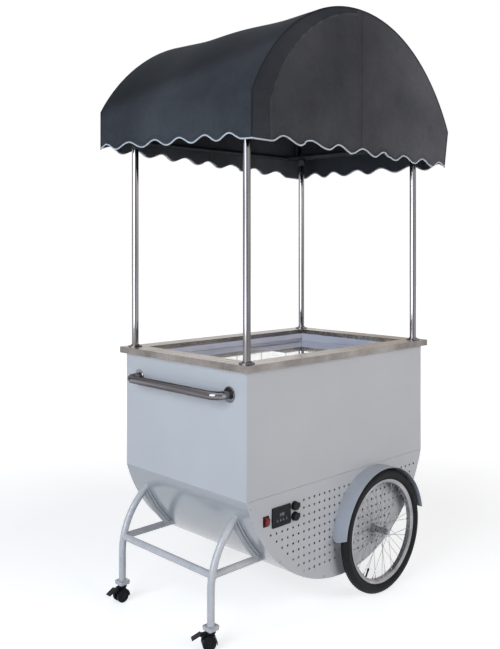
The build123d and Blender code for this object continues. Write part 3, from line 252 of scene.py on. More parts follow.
# every plain finish on the cart: dark and light tone (linear), scales of the patches and of the grain,
# roughness from and to, strength of the relief, and what else differs from plain paint
finishes = {
    "bodyPaint": ((0.44, 0.445, 0.468), (0.478, 0.48, 0.5), 2.5, 900, (0.3, 0.4), 0.05, {"coat": 0.12}),
    # painted shade: the belly wears a darker copy of the body's paint, for the shade under the cart
    "bellyShadedPaint": ((0.335, 0.341, 0.362), (0.365, 0.37, 0.388), 3, 700, (0.18, 0.25), 0.015,
                   {"coat": 0.45, "coatRoughness": 0.12}),
    "framePaint": ((0.43, 0.43, 0.45), (0.51, 0.505, 0.525), 9, 600, (0.22, 0.34), 0.06, {"coat": 0.2}),
    "guardPaint": ((0.33, 0.35, 0.39), (0.38, 0.4, 0.44), 5, 600, (0.2, 0.28), 0.03, {"coat": 0.25}),
    # brushed grain is the steel's own; its brown-grey patches are painted reflections of a room
    "stainless": ((0.17, 0.155, 0.147), (0.37, 0.343, 0.327), 7, 260, (0.2, 0.34), 0.08,
                  {"stretch": (0.12, 6, 1), "metallic": 1.0, "anisotropic": 0.4,
                   "edgeTint": (1.0, 0.965, 0.93)}),
    "brushedTub": ((0.5, 0.5, 0.52), (0.64, 0.64, 0.66), 6, 260, (0.26, 0.4), 0.1,
                   {"stretch": (0.3, 0.3, 8), "metallic": 1.0}),
    # painted reflection: light and dark streaks running up the tube stand in for the surroundings reflected
    # in chrome
    "chrome": ((0.085, 0.081, 0.088), (0.5, 0.475, 0.485), 22, 300, (0.05, 0.11), 0.02,
               {"patchStretch": (3.0, 3.0, 0.05), "metallic": 1.0, "edgeTint": (0.55, 0.54, 0.56)}),
    # painted reflection: light and dark bands along the bar stand in for reflected surroundings
    "darkReflectionStreakChrome": ((0.06, 0.056, 0.058), (0.33, 0.32, 0.335), 20, 300, (0.08, 0.15), 0.03,
                   {"patchStretch": (1.0, 0.06, 3.0), "metallic": 1.0, "edgeTint": (0.5, 0.49, 0.5)}),
    "alloy": ((0.27, 0.27, 0.28), (0.44, 0.44, 0.455), 12, 500, (0.22, 0.34), 0.06,
              {"metallic": 1.0, "edgeTint": (0.7, 0.7, 0.72)}),
    "spokeSteel": ((0.2, 0.2, 0.215), (0.5, 0.5, 0.52), 30, 700, (0.22, 0.34), 0.05,
                   {"metallic": 1.0, "edgeTint": (0.5, 0.5, 0.52)}),
    "railSteel": ((0.026, 0.028, 0.032), (0.045, 0.048, 0.054), 16, 700, (0.42, 0.56), 0.08,
                  {"metallic": 0.5, "specular": 0.2, "edgeTint": (0.2, 0.2, 0.2)}),
    "zinc": ((0.32, 0.32, 0.34), (0.52, 0.52, 0.54), 40, 800, (0.28, 0.42), 0.08, {"metallic": 1.0}),
    # painted shade: white plastic given the lavender-grey tone of white seen in shade
    "palePlastic": ((0.47, 0.47, 0.56), (0.55, 0.55, 0.63), 8, 700, (0.34, 0.46), 0.05, {}),
    "blackPlastic": ((0.006, 0.0065, 0.008), (0.011, 0.012, 0.014), 30, 1500, (0.3, 0.44), 0.1,
                     {"specular": 0.14}),
    "buttonPlastic": ((0.1, 0.105, 0.11), (0.14, 0.145, 0.15), 60, 1500, (0.4, 0.5), 0.08, {}),
    "casterTread": ((0.006, 0.006, 0.007), (0.012, 0.012, 0.014), 40, 900, (0.4, 0.56), 0.14,
                    {"specular": 0.12}),
    "insulationFoam": ((0.62, 0.55, 0.36), (0.74, 0.68, 0.48), 20, 250, (0.75, 0.9), 0.5,
                       {"bumpDepth": 0.002}),
    "copper": ((0.55, 0.27, 0.15), (0.72, 0.4, 0.25), 14, 500, (0.26, 0.42), 0.08, {"metallic": 1.0}),
    "machineBlack": ((0.018, 0.018, 0.02), (0.035, 0.035, 0.038), 12, 400, (0.36, 0.52), 0.2,
                     {"coat": 0.2}),
    "innerFrame": ((0.3, 0.32, 0.34), (0.38, 0.4, 0.42), 9, 500, (0.36, 0.5), 0.1, {}),
    "piping": ((0.38, 0.41, 0.45), (0.52, 0.54, 0.58), 30, 900, (0.42, 0.55), 0.1, {}),
    "seamThread": ((0.03, 0.034, 0.04), (0.055, 0.06, 0.068), 90, 1500, (0.6, 0.75), 0.3,
                   {"specular": 0.2}),
    # painted shade for the screws' cross recesses
    "recessShade": ((0.01, 0.01, 0.011), (0.022, 0.022, 0.024), 200, 900, (0.5, 0.7), 0.2, {}),
    "paleMark": ((0.22, 0.23, 0.24), (0.3, 0.31, 0.32), 300, 900, (0.4, 0.5), 0.05, {}),
    "smokedPane": ((0.006, 0.007, 0.009), (0.012, 0.013, 0.016), 80, 900, (0.05, 0.09), 0.02,
                   {"coat": 0.5}),
}
surfaces = {name: finishedSurface(name, *values) for name, values in finishes.items()}


def clothMaterial(name, spec):
    # charcoal canvas: a plain weave from two sets of threads laid on the cut, in soft streaks of tone, with
    # painted light multiplied into the colour from a layer on the cloth
    material, shader = startMaterial(name)
    fine = clouds(material, 60.0, 4.0)
    specks = calculate(material, "MULTIPLY", fine, 0.22)
    streaks = calculate(material, "ADD", clouds(material, 2.4, 5.0, 0.6), specks)
    flat = twoTones(material, streaks, spec["dark"], spec["light"], 0.42, 0.82)
    # painted shade: the vault's tones are darker than the flat sides' canvas, for the shade on the upper arch
    vault = twoTones(material, streaks, spec["vaultShadedDark"], spec["vaultShadedLight"], 0.42, 0.82)
    fold, paintedLight = [addNode(material, "Attribute", attribute_name=layer).outputs["Fac"]
                    for layer in ("insideFold", "paintedLight")]
    side = ramped(material, fold, -0.002, 0.002)
    tone = addNode(material, "MixRGB", {"Fac": side, "Color1": flat, "Color2": vault})
    # painted light: the colour is scaled up by the mesh layer, brighter where light is painted on
    paintedLitTone = addNode(material, "VectorMath", {0: tone.outputs["Color"], "Scale": paintedLight}, operation="SCALE")
    pitch = {"Vector": addNode(material, "TexCoord").outputs["UV"], "Scale": spec["threadsPerMetre"] / 20,
             "Distortion": 0.4}
    threads = [addNode(material, "TexWave", pitch, bands_direction=way).outputs["Fac"] for way in "XY"]
    feed(material, shader, {
        "Base Color": paintedLitTone.outputs["Vector"],
        "Normal": relief(material, calculate(material, "MULTIPLY", *threads), 0.35, 0.0004),
        "Roughness": spread(material, fine, 0.74, 0.90),
        "Sheen Weight": spec["sheen"],
        "Sheen Roughness": 0.5,
        "Sheen Tint": (0.80, 0.87, 1.0, 1),
        "Specular IOR Level": 0.08,
    })
    return material


def glassMaterial(name, spec):
    # clear float glass with a breath of green and a few smears
    material, shader = startMaterial(name)
    smears = clouds(material, 6.0, 6.0, 0.65)
    feed(material, shader, {
        "Base Color": twoTones(material, smears, spec["dark"], spec["light"]),
        "Roughness": spread(material, smears, *spec["roughness"]),
        "Transmission Weight": 0.92,
        "IOR": 1.5,
        "Specular IOR Level": 0.9,
        "Coat Weight": 1.0,
        "Coat IOR": 2.2,
        "Coat Roughness": 0.04,
    })
    return material


def rubberMaterial(name):
    material, shader = startMaterial(name)
    dust = clouds(material, 14.0, 6.0, 0.6)
    feed(material, shader, {
        "Base Color": twoTones(material, dust, (0.006, 0.0063, 0.0072), (0.015, 0.0155, 0.0175)),
        "Roughness": spread(material, dust, 0.48, 0.66),
        "Specular IOR Level": 0.16,
        "Normal": relief(material, clouds(material, 900.0, 2.0), 0.2, 0.0003),
    })
    return material


def glossyRed(name):
    material, shader = startMaterial(name)
    cloud = clouds(material, 120.0, 3.0)
    feed(material, shader, {
        "Base Color": twoTones(material, cloud, (0.13, 0.005, 0.007), (0.21, 0.010, 0.011)),
        "Roughness": spread(material, cloud, 0.18, 0.28),
        "Specular IOR Level": 0.25,
    })
    return material


# the vault's two tones hold painted shade and are darker than the flat sides' tones
surfaces["canvas"] = clothMaterial("canvas", {"dark": (0.034, 0.0345, 0.0385), "light": (0.062, 0.062, 0.067),
                                              "vaultShadedDark": (0.0125, 0.0135, 0.0160),
                                              "vaultShadedLight": (0.0235, 0.0250, 0.0290),
                                              "threadsPerMetre": 1400, "sheen": 0.03})
surfaces["lidGlass"] = glassMaterial("lidGlass", {"dark": (0.86, 0.92, 0.92), "light": (0.93, 0.97, 0.96),
                                                  "roughness": (0.01, 0.05)})
surfaces["tyreRubber"] = rubberMaterial("tyreRubber")
surfaces["rockerRed"] = glossyRed("rockerRed")
print("materials made:", len(surfaces))

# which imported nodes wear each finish
wornBy = {
    "stainless": "worktop",
    "brushedTub": "tub_liner",
    "bodyPaint": "end_panel_handle end_panel_far side_panel_right side_panel_left vent_panel_right "
                 "vent_panel_left",
    "bellyShadedPaint": "belly_panel",
    "innerFrame": "body_frame",
    "insulationFoam": "tub_foam",
    "copper": "evaporator_coil",
    "palePlastic": "lid_track lid_pull_upper lid_pull_lower",
    "lidGlass": "lid_upper lid_lower",
    "chrome": "canopy_poles",
    "darkReflectionStreakChrome": "tube_flanges handle_bar",
    "railSteel": "canopy_frame",
    "canvas": "canopy_vault canopy_end_panels",
    "framePaint": "legs leg_stays leg_cross_tube caster_plates",
    "guardPaint": "mudguard_right mudguard_left",
    "zinc": "axle screws fan_motor",
    "alloy": "condenser fan_blades rim_right rim_left",
    "spokeSteel": "spokes_right spokes_left hub_right hub_left",
    "tyreRubber": "tyre_right tyre_left",
    "casterTread": "caster_wheels_right caster_wheels_left",
    "blackPlastic": "switch_housing controller_case outlet_bodies outlet_cap_upper outlet_cap_lower "
                    "caster_yoke_right caster_yoke_left caster_pedal_right caster_pedal_left",
    "rockerRed": "switch_rocker",
    "machineBlack": "compressor",
    "buttonPlastic": "controller_button_1 controller_button_2 controller_button_3 controller_button_4",
}
dressed = 0
for finish, names in wornBy.items():
    for name in names.split():
        slots = nodes[name].data.materials
        if len(slots) == 0:
            slots.append(surfaces[finish])
        for index in range(len(slots)):
            slots[index] = surfaces[finish]
        dressed += 1
print("finishes put on", dressed, "nodes")

# canopy cloth: one sheet goes up from one hem, over the arch and down, with a flat side sewn to each edge
canopy = {
    "skirt": 0.160,           # straight drop below the arch
    "inset": 0.0003,          # the cloth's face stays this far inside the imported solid
    "thickness": 0.0014,
    "scallopDepth": 0.024,
    # where the hem turns, from the middle of a side: its low straight stretch ends at the first place, and
    # from there crests and lobes follow by turns; the far sides are the same the other way round
    "turnsLong": (-0.507, -0.444, -0.357, -0.299, -0.205, -0.141, -0.060, 0.008, 0.080, 0.145, 0.223, 0.282,
                  0.357, 0.421, 0.493, 0.550),
    "turnsShort": (-0.400, -0.333, -0.272, -0.210, -0.140, -0.060, 0.007, 0.083, 0.164, 0.254, 0.334, 0.404),
    "archColumns": 96,
    "dropRows": 36,
    "acrossRows": 110,
    "sag": 0.006,             # between the tube arches
    "hemBillow": 0.005,       # outward swing of the loose valance
    "wrinkle": 0.0014,
    "pipingRadius": 0.0030,
    "seamX": 0.0,             # centre seam of the flat sides, from the cart's middle
    "seamHalf": 0.017,
    # this strip wears the vault's darker tones, which is painted shade beside that corner
    "stripWidth": 0.088,      # the vault's cloth is folded round onto the flat sides at one corner
    "hemLean": 0.018,         # the valance leans in at the far corner on the control side
    "stitchPitch": 0.0075,
    # how far each corner of the cloth hangs off its true place: (end, side): along, across, up
    "corners": {(-1, -1): (-0.007, -0.009, 0.002), (-1, 1): (-0.012, 0.012, 0.031),
                (1, -1): (0.023, -0.009, -0.024), (1, 1): (0.020, 0.008, -0.021)},
    "edgeReach": 0.075,       # the arch's edge stands proud of the flat side over this distance
    "seamReach": 0.05,        # the cloth lies still this close to a sewn edge
    "seamRadius": 0.0021,
    "threadRadius": 0.00045,
}
vaultLow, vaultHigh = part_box("canopy_vault")
clothHalfX = (vaultHigh.x - vaultLow.x) / 2 - canopy["inset"]
clothHalfY = (vaultHigh.y - vaultLow.y) / 2 - canopy["inset"]
clothMiddleX = (vaultHigh.x + vaultLow.x) / 2
hemZ = vaultLow.z + canopy["inset"]
springZ = hemZ + canopy["skirt"]
apexZ = vaultHigh.z - canopy["inset"]
archRise = apexZ - springZ
archRadius = (archRise**2 + clothHalfX**2) / (2 * archRise)
archCentreZ = apexZ - archRadius
archHalfTurn = math.asin(clothHalfX / archRadius)


def hang(point):
    # moves a point of the true canopy to where the loose cloth hangs; full at the spring, none at the ridge
    u = max(0.0, min(1.0, (point.x / clothHalfX + 1) / 2))
    v = max(0.0, min(1.0, (point.y / clothHalfY + 1) / 2))
    height = max(0.0, min(1.0, (point.z - springZ) / archRise))
    fadeOut = (1 - height) ** 0.7
    fadeUp = (1 - height) ** 1.6
    move = Vector((0, 0, 0))
    for (end, side), (along, across, up) in canopy["corners"].items():
        share = (u if end > 0 else 1 - u) * (v if side > 0 else 1 - v)
        move += share * Vector((along * fadeOut, across * fadeOut, up * fadeUp))
    # along X the cloth only stands out near the ends; across, only its sewn edges stand proud
    move.x *= min(1.0, abs(point.x) / clothHalfX) ** 2
    below = max(0.0, min(1.0, (springZ - point.z) / canopy["skirt"]))
    move.y += canopy["hemLean"] * below * max(0.0, 2 * u - 1) ** 2 * max(0.0, 1 - 2 * v)
    nearEdge = max(0.0, clothHalfX * math.sqrt(max(0.0, 1 - height**2)) - abs(point.x))
    if abs(abs(point.y) - clothHalfY) < 1e-4:
        move.y *= 0.25 + 0.75 * math.exp(-((nearEdge / canopy["edgeReach"]) ** 2))
    else:
        move.y *= min(1.0, abs(point.y) / clothHalfY) ** 6
    return point + move + Vector((clothMiddleX, 0, 0))


def hemHeight(s, half, turns):
    # how far the scalloped hem stands above its lowest line, at distance s from the middle of a side
    depth = canopy["scallopDepth"]
    if s <= turns[0]:
        return 0.0
    last = len(turns) - 1
    if s >= turns[last]:
        # half way down again at the corner
        return depth * (0.75 + 0.25 * math.cos(math.pi * min(1.0, (s - turns[last]) / (half - turns[last]))))
    k = max(i for i in range(last) if turns[i] <= s)
    share = (s - turns[k]) / (turns[k + 1] - turns[k])
    rising = k % 2 == 0
    wave = 0.5 - 0.5 * math.cos(math.pi * share)
    return depth * (wave if rising else 1 - wave)


def hemAlongX(x, side):
    return hemHeight(x * -side, clothHalfX, canopy["turnsLong"])


def hemAlongY(y, end):
    return hemHeight(y * -end, clothHalfY, canopy["turnsShort"])


def billow(s, half, z):
    # outward swing below the rail; none near corners, where two sides meet
    low = max(0.0, min(1.0, (hemZ + 0.065 - z) / 0.065))
    away = max(0.0, min(1.0, (half - abs(s)) / 0.12))
    wave = 0.5 + 0.5 * math.sin(s * 21 + 1.3 * math.sin(s * 5))
    return canopy["hemBillow"] * low * away * wave


def wrinkleAt(point, strength):
    # long soft creases, only ever outward so that the cloth stays off the tubes
    p = Vector((point.x * 5, point.y * 3, point.z * 4))
    q = Vector((point.x * 16, point.y * 5, point.z * 9))
    value = 0.6 * noise.noise(p) + 0.4 * noise.noise(q)
    return strength * (0.5 + 0.5 * value)


def creaseAt(point):
    # one long crease runs from the centre seam down to the hem
    reach = (point.z - (springZ + 0.10)) / (hemZ + 0.02 - springZ - 0.10)
    if not 0 < reach < 1:
        return 0.0
    across = point.x - (canopy["seamX"] + 0.012 + 0.17 * reach)
    return 0.0035 * math.sin(math.pi * reach) * math.exp(-((across / 0.012) ** 2))


def archPoints(steps):
    # (x, z) over the arch, from one spring to the other
    turns = [-archHalfTurn + 2 * archHalfTurn * i / steps for i in range(steps + 1)]
    return [(archRadius * math.sin(turn), archCentreZ + archRadius * math.cos(turn)) for turn in turns]


def buildCanopyCloth():
    drop, across = canopy["dropRows"], canopy["acrossRows"]
    verts, faces = [], []
    keys = {}

    def vertex(x, y, z):
        # points on a sewn edge are made once, so that the sheet is whole
        point = Vector((x, y, z))
        key = tuple(round(value, 6) for value in point)
        if key not in keys:
            keys[key] = len(verts)
            verts.append(point)
        return keys[key]

    def fillGrid(lines, flip):
        for near, far in zip(lines[:-1], lines[1:]):
            for k in range(len(near) - 1):
                loop = (near[k], far[k], far[k + 1], near[k + 1])
                faces.append(loop[::-1] if flip else loop)

    # the vault and both skirts: each line goes from one hem over the arch to the other
    over = archPoints(canopy["archColumns"])
    lines = []
    for j in range(across + 1):
        y = -clothHalfY + 2 * clothHalfY * j / across
        low, farLow = hemZ + hemAlongY(y, -1), hemZ + hemAlongY(y, 1)
        rows = [(-clothHalfX, low + (springZ - low) * k / drop) for k in range(drop)] + over
        rows += [(clothHalfX, springZ - (springZ - farLow) * k / drop) for k in range(1, drop + 1)]
        lines.append([vertex(x, y, z) for x, z in rows])
    fillGrid(lines, False)
    for side in (-1, 1):
        lines = []
        for x, top in over:
            low = hemZ + hemAlongX(x, side)
            heights = [low + (top - low) * k / drop for k in range(drop + 1)]
            lines.append([vertex(x, side * clothHalfY, z) for z in heights])
        fillGrid(lines, side > 0)
    return verts, faces


def shapeCloth(verts):
    # sag, billow and creases, moved along the way each part of the cloth faces; sewn corners keep their place
    shaped = []
    for point in verts:
        onSide = abs(abs(point.y) - clothHalfY) < 1e-5
        onSkirt = abs(abs(point.x) - clothHalfX) < 1e-5
        corner = onSide and (onSkirt or abs(math.hypot(point.x, point.z - archCentreZ) - archRadius) < 1e-4)
        fade = min(1.0, (clothHalfY - abs(point.y)) / canopy["seamReach"])
        crumple = wrinkleAt(point, canopy["wrinkle"])
        move = Vector((0, 0, 0))
        if onSkirt and not corner:
            swell = billow(point.y, clothHalfY, point.z) + fade * crumple
            move = Vector((math.copysign(1, point.x), 0, 0)) * swell
        elif point.z > springZ - 1e-5 and not onSide:
            between = math.sin(math.pi * abs(point.y) / clothHalfY) ** 2
            ridge = 1 - math.exp(-((point.x / 0.12) ** 2))
            swell = fade * crumple - canopy["sag"] * between * ridge * fade
            move = Vector((point.x, 0, point.z - archCentreZ)).normalized() * swell
        elif onSide and not corner:
            room = archRadius - math.hypot(point.x, max(0.0, point.z - archCentreZ))
            fade = max(0.0, min(1.0, min(room, clothHalfX - abs(point.x)) / canopy["seamReach"]))
            swell = billow(point.x, clothHalfX, point.z) + crumple + creaseAt(point)
            move = Vector((0, math.copysign(1, point.y), 0)) * fade * swell
        shaped.append(hang(point) + move)
    return shaped


def layCut(piece):
    # texture coordinates in metres on the cut, so that the weave has its real size
    layer = piece.data.uv_layers.new(name="cut")
    for face in piece.data.polygons:
        facing = face.normal
        for loop in face.loop_indices:
            point = piece.data.vertices[piece.data.loops[loop].vertex_index].co
            if abs(facing.y) > 0.7:
                layer.data[loop].uv = (point.x, point.z)
            else:
                around = math.atan2(point.x - clothMiddleX, point.z - archCentreZ) * archRadius
                layer.data[loop].uv = (around, point.y)


clothVerts, clothFaces = buildCanopyCloth()
canopyCloth = addPiece("canopyCloth", shapeCloth(clothVerts), clothFaces, surfaces["canvas"], "cart",
                       "canopy_cloth")
layCut(canopyCloth)
work = bmesh.new()
work.from_mesh(canopyCloth.data)
bmesh.ops.recalc_face_normals(work, faces=work.faces)
work.to_mesh(canopyCloth.data)
work.free()


def smoothStep(value):
    t = max(0.0, min(1.0, value))
    return t * t * (3 - 2 * t)


def paintLightOnCloth(piece):
    # how far a point lies inside the vault's cloth, which also covers a strip of each flat side that narrows
    # up the arch, and how much painted light brightens the cloth's colour there: the lower vault and loose
    # skirt most, then the flat sides towards one end and the hem
    mesh = piece.data
    fold = mesh.attributes.new("insideFold", "FLOAT", "CORNER")
    paintedLight = mesh.attributes.new("paintedLight", "FLOAT", "CORNER")
    for face in mesh.polygons:
        onVault = abs(face.normal.y) < 0.6
        for loop in face.loop_indices:
            point = mesh.vertices[mesh.loops[loop].vertex_index].co
            x = point.x - clothMiddleX
            height = max(0.0, min(1.0, (point.z - springZ) / archRise))
            # painted light: the vault below this edge is brightened as if lit from the side, and its top is
            # left in painted shade
            edge = springZ + 0.03 + 0.09 * (1 - point.y / clothHalfY)
            vaultPaintedLight = 1.0 + 1.30 * (1 - smoothStep((point.z - edge) / 0.10 + 0.5))
            if onVault:
                fold.data[loop].value = 0.05
                paintedLight.data[loop].value = vaultPaintedLight
                continue
            fromEdge = clothHalfX + x
            if height > 0:
                fromEdge = min(fromEdge, archRadius - math.hypot(x, point.z - archCentreZ))
            strip = canopy["stripWidth"] * math.sqrt(1 - height)
            fold.data[loop].value = strip - fromEdge if x < 0 else -0.05
            low = 1 - smoothStep((point.z - hemZ) / 0.25)
            # painted light: the flat side brightens towards one end and towards the hem
            flatPaintedLight = 1.0 + 0.85 * smoothStep((x - 0.02) / 0.50) + 0.16 * low
            inStrip = x < 0 and strip > fromEdge
            # the strip beside the corner keeps the vault's painted-shade tones and is lifted less than the
            # flat side
            paintedLight.data[loop].value = 1.75 + 0.5 * low if inStrip else flatPaintedLight


paintLightOnCloth(canopyCloth)
shell = canopyCloth.modifiers.new("clothThickness", "SOLIDIFY")
shell.thickness = canopy["thickness"]
shell.offset = -1
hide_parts("canopy_vault", "canopy_end_panels")

# the hem's piping follows the cloth's own lower edge
def hemLoop():
    points = []
    for way, alongX, steps in ((-1, True, 260), (1, False, 200), (1, True, 260), (-1, False, 200)):
        for i in range(steps):
            share = 1 - 2 * i / steps
            if alongX:
                x = way * clothHalfX * share
                z = hemZ + hemAlongX(x, way)
                points.append(Vector((x, way * (clothHalfY + billow(x, clothHalfX, z)), z)))
            else:
                y = -way * clothHalfY * share
                z = hemZ + hemAlongY(y, way)
                points.append(Vector((way * (clothHalfX + billow(y, clothHalfY, z)), y, z)))
    return points


pipingPath = [hang(point) for point in hemLoop()]
hemPiping = addPiece("hemPiping", *tubeMesh(pipingPath, canopy["pipingRadius"], 10, closed=True),
                     surfaces["piping"], "cart", "pale_plastic")


def evenCloth(piece, inside):
    # the same values all over a small piece of cloth
    for name, value in (("insideFold", inside), ("paintedLight", 1.0)):
        layer = piece.data.attributes.new(name, "FLOAT", "POINT")
        for item in layer.data:
            item.value = value


def archEdge(side, offset=0.0):
    # along one sewn edge: up a corner, over the arch and down the other corner
    low = hemZ + 0.004
    steps = 24
    rise = [(-clothHalfX, low + (springZ - low) * k / steps) for k in range(steps)]
    fall = [(clothHalfX, springZ - (springZ - low) * k / steps) for k in range(1, steps + 1)]
    return [hang(Vector((x, side * (clothHalfY - offset), z))) for x, z in rise + archPoints(120) + fall]


edgeParts = [tubeMesh(archEdge(side), canopy["seamRadius"], 8) for side in (-1, 1)]
edgeSeams = addPiece("canopyEdgeSeams", *joined(edgeParts), surfaces["canvas"], "cart", "canopy_cloth")
evenCloth(edgeSeams, 0.05)


def stitchRow(path, outward, lift):
    # short threads lying on the cloth along a path
    pitch, thread = canopy["stitchPitch"], canopy["threadRadius"]
    parts = []
    travelled, target = 0.0, 0.0
    for a, b in zip(path[:-1], path[1:]):
        span = (b - a).length
        if span < 1e-9:
            continue
        along = (b - a) / span
        while target < travelled + span:
            start = a + along * (target - travelled) + outward(a) * lift
            end = start + along * pitch * 0.62
            parts.append(tubeMesh([start, (start + end) / 2 + outward(a) * thread, end], thread, 5))
            target += pitch
        travelled += span
    return parts


def fromArchCentre(point):
    return Vector((point.x - clothMiddleX, 0, point.z - archCentreZ)).normalized()


def fromCart(point):
    if abs(abs(point.y) - clothHalfY) < 0.02:
        return Vector((0, math.copysign(1, point.y), 0))
    if point.z < springZ:
        return Vector((math.copysign(1, point.x - clothMiddleX), 0, 0))
    return fromArchCentre(point)


seamMiddle = clothMiddleX + canopy["seamX"]
seamTop = archCentreZ + math.sqrt(archRadius**2 - canopy["seamX"] ** 2)


def seamHeights(aboveHem, belowArch, steps=60):
    low, high = hemZ + aboveHem, seamTop - belowArch
    return [low + (high - low) * k / steps for k in range(steps + 1)]


stitches = []
for rise in (0.011, 0.017):
    row = [p + Vector((0, 0, rise)) for p in pipingPath]
    stitches += stitchRow(row + row[:1], fromCart, 0.0016)
for side in (-1, 1):
    over = [p for p in archEdge(side, offset=0.010) if p.z > springZ]
    stitches += stitchRow(over, fromArchCentre, 0.0012)
    for shift in (-0.7, 0.7):
        x = seamMiddle + shift * canopy["seamHalf"]
        row = [Vector((x, side * clothHalfY, z)) for z in seamHeights(0.030, 0.006)]
        stitches += stitchRow(row, lambda p, s=side: Vector((0, s, 0)), 0.0034)
canopyStitching = addPiece("canopyStitching", *joined(stitches), surfaces["seamThread"], "cart",
                           "canopy_cloth")

# the felled centre seam of each flat side is a doubled strip that stands a little proud
wide = canopy["seamHalf"]
seamSection = [(-wide, 0.0), (-0.4 * wide, 0.0016), (0.30 * wide, 0.0058), (0.38 * wide, 0.0008), (wide, 0.0)]
seamParts = []
for side in (-1, 1):
    verts = [Vector((seamMiddle + dx, side * (clothHalfY - 0.0002 + dy), z))
             for z in seamHeights(0.028, 0.003) for dx, dy in seamSection]
    faces = [(a, a + 1, a + 6, a + 5) for a in range(len(verts) - 5) if a % 5 < 4]
    seamParts.append((verts, faces if side < 0 else [face[::-1] for face in faces]))
canopySideSeams = addPiece("canopySideSeams", *joined(seamParts), surfaces["canvas"], "cart", "canopy_cloth")
evenCloth(canopySideSeams, -0.05)

# seams where tubes meet each other and the belly: a fine raised bead that follows the curve of the joint
legFrame = {
    "legRadius": 0.014,
    "stayRadius": 0.013,
    "saddleRadius": 0.012,
    "saddleFillet": 0.0042,
    "saddleFrom": math.radians(25.5),   # below the level of the belly's centre, round from the handle end
    "saddleTo": math.radians(47.0),
    "stayHeight": 0.256,
    "bendRadius": 0.290,
    "bendStart": 0.195,
    "weld": 0.0019,
}
legLow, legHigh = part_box("legs")
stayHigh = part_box("leg_stays")[1]
bellyLow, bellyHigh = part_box("belly_panel")
bellyHalf = (bellyHigh.x - bellyLow.x) / 2
bellyRise = bellyHigh.z - bellyLow.z
bellyRadius = (bellyRise**2 + bellyHalf**2) / (2 * bellyRise)
bellyCentre = Vector((middleX, 0, bellyLow.z + bellyRadius))
legAcross = stayHigh.y - legFrame["stayRadius"]
plateHalf = legHigh.y - legAcross
legX = legLow.x + plateHalf


def legCentre(turn, side):
    # the middle of a leg after this much of its bend
    reach, start = legFrame["bendRadius"], legFrame["bendStart"]
    return Vector((legX + reach * (1 - math.cos(turn)), side * legAcross, start + reach * math.sin(turn)))


def toBelly(point):
    return math.hypot(point.x - bellyCentre.x, point.z - bellyCentre.z) - bellyRadius


def meeting(pointAt, low, high, distance):
    # halves the range until the point lies on the other surface
    for _ in range(40):
        middle = (low + high) / 2
        if distance(pointAt(middle)) > 0:
            low = middle
        else:
            high = middle
    return pointAt((low + high) / 2)


def weldBead(path):
    return tubeMesh(path, lambda i: legFrame["weld"] * (1 + 0.10 * math.sin(i * 1.9)), 8, closed=True)


def legFrameSeams():
    parts = []
    spec = legFrame
    stayTurn = math.asin((spec["stayHeight"] - spec["bendStart"]) / spec["bendRadius"])
    for side in (-1, 1):
        # fillets along both edges of each saddle
        bead = spec["saddleFillet"]
        offset = 2 * math.sqrt(spec["saddleRadius"] * bead)
        for edge in (-1, 1):
            path = []
            for k in range(49):
                turn = math.pi + spec["saddleFrom"] + (spec["saddleTo"] - spec["saddleFrom"]) * k / 48
                reach = bellyRadius + bead * 0.8
                path.append(Vector((middleX + reach * math.cos(turn), side * legAcross + edge * offset,
                                    bellyCentre.z + reach * math.sin(turn))))
            parts.append(tubeMesh(path, lambda i, b=bead: b * min(1.0, 0.25 + min(i, 48 - i) / 8), 10))
        ringLeg, ringStay, ringCross, ringStayBelly = [], [], [], []
        for k in range(48):
            turn = 2 * math.pi * k / 48

            def onLeg(t, a=turn, s=side):
                centre = legCentre(t, s)
                outward = Vector((-math.cos(t), 0, math.sin(t)))
                return centre + spec["legRadius"] * (math.cos(a) * outward + Vector((0, math.sin(a), 0)))

            ringLeg.append(meeting(onLeg, stayTurn, math.radians(80), toBelly))
            up = spec["stayRadius"] * math.sin(turn)
            wide = spec["stayRadius"] * math.cos(turn)
            bulge = math.sqrt(spec["legRadius"] ** 2 - wide**2)
            lean = up * math.tan(stayTurn)
            centre = legCentre(stayTurn, side)
            ringStay.append(centre + Vector((bulge / math.cos(stayTurn) + lean, wide, up)))
            ringCross.append(centre + Vector((wide + lean, -side * bulge, up)))

            def onStay(t, u=up, w=wide, s=side):
                return Vector((t, s * legAcross + w, spec["stayHeight"] + u))

            ringStayBelly.append(meeting(onStay, legX, middleX, toBelly))
        for ring in (ringLeg, ringStay, ringCross, ringStayBelly):
            parts.append(weldBead(ring))
    return joined(parts)


addPiece("legFrameSeams", *legFrameSeams(), surfaces["framePaint"], "cart")
print("leg frame seams made")

# bicycle wheels: tread blocks, sidewall lines, nipples, dust rings and the valve's cap
cycle = {
    "tyreSection": 0.020,
    "ribOffsets": (0.0035, 0.0095, 0.0145),
    "ribHalf": 0.0021,
    "ribHeight": 0.0013,
    "blocks": 96,
    "sidewallAt": 0.0098,      # up from the widest line
    "spokes": 36,
    "crossed": 3,
    "flangeSpread": 0.022,
    "flangeReach": 0.024,
    "laceStep": 0.0026,
    "rimReach": 0.1938,
    "rimOffset": 0.004,
    "nippleLength": 0.011,
    "valveTurn": math.radians(238),
    "valveEnd": 0.160,
    "dustRing": [(0.0256, 0.0121), (0.0258, 0.0129), (0.0268, 0.0129), (0.0274, 0.0120), (0.0274, 0.0085)],
    "valveCap": [(-0.0022, 0.0004), (-0.0020, 0.0030), (-0.0010, 0.0041), (0.0075, 0.0041), (0.0080, 0.0036)],
    "threads": 4,
    "threadPitch": 0.0009,
    "threadReach": 0.0061,
}


def wheelCentre(side):
    low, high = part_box("tyre_" + side)
    return (low + high) / 2, (high.z - low.z) / 2


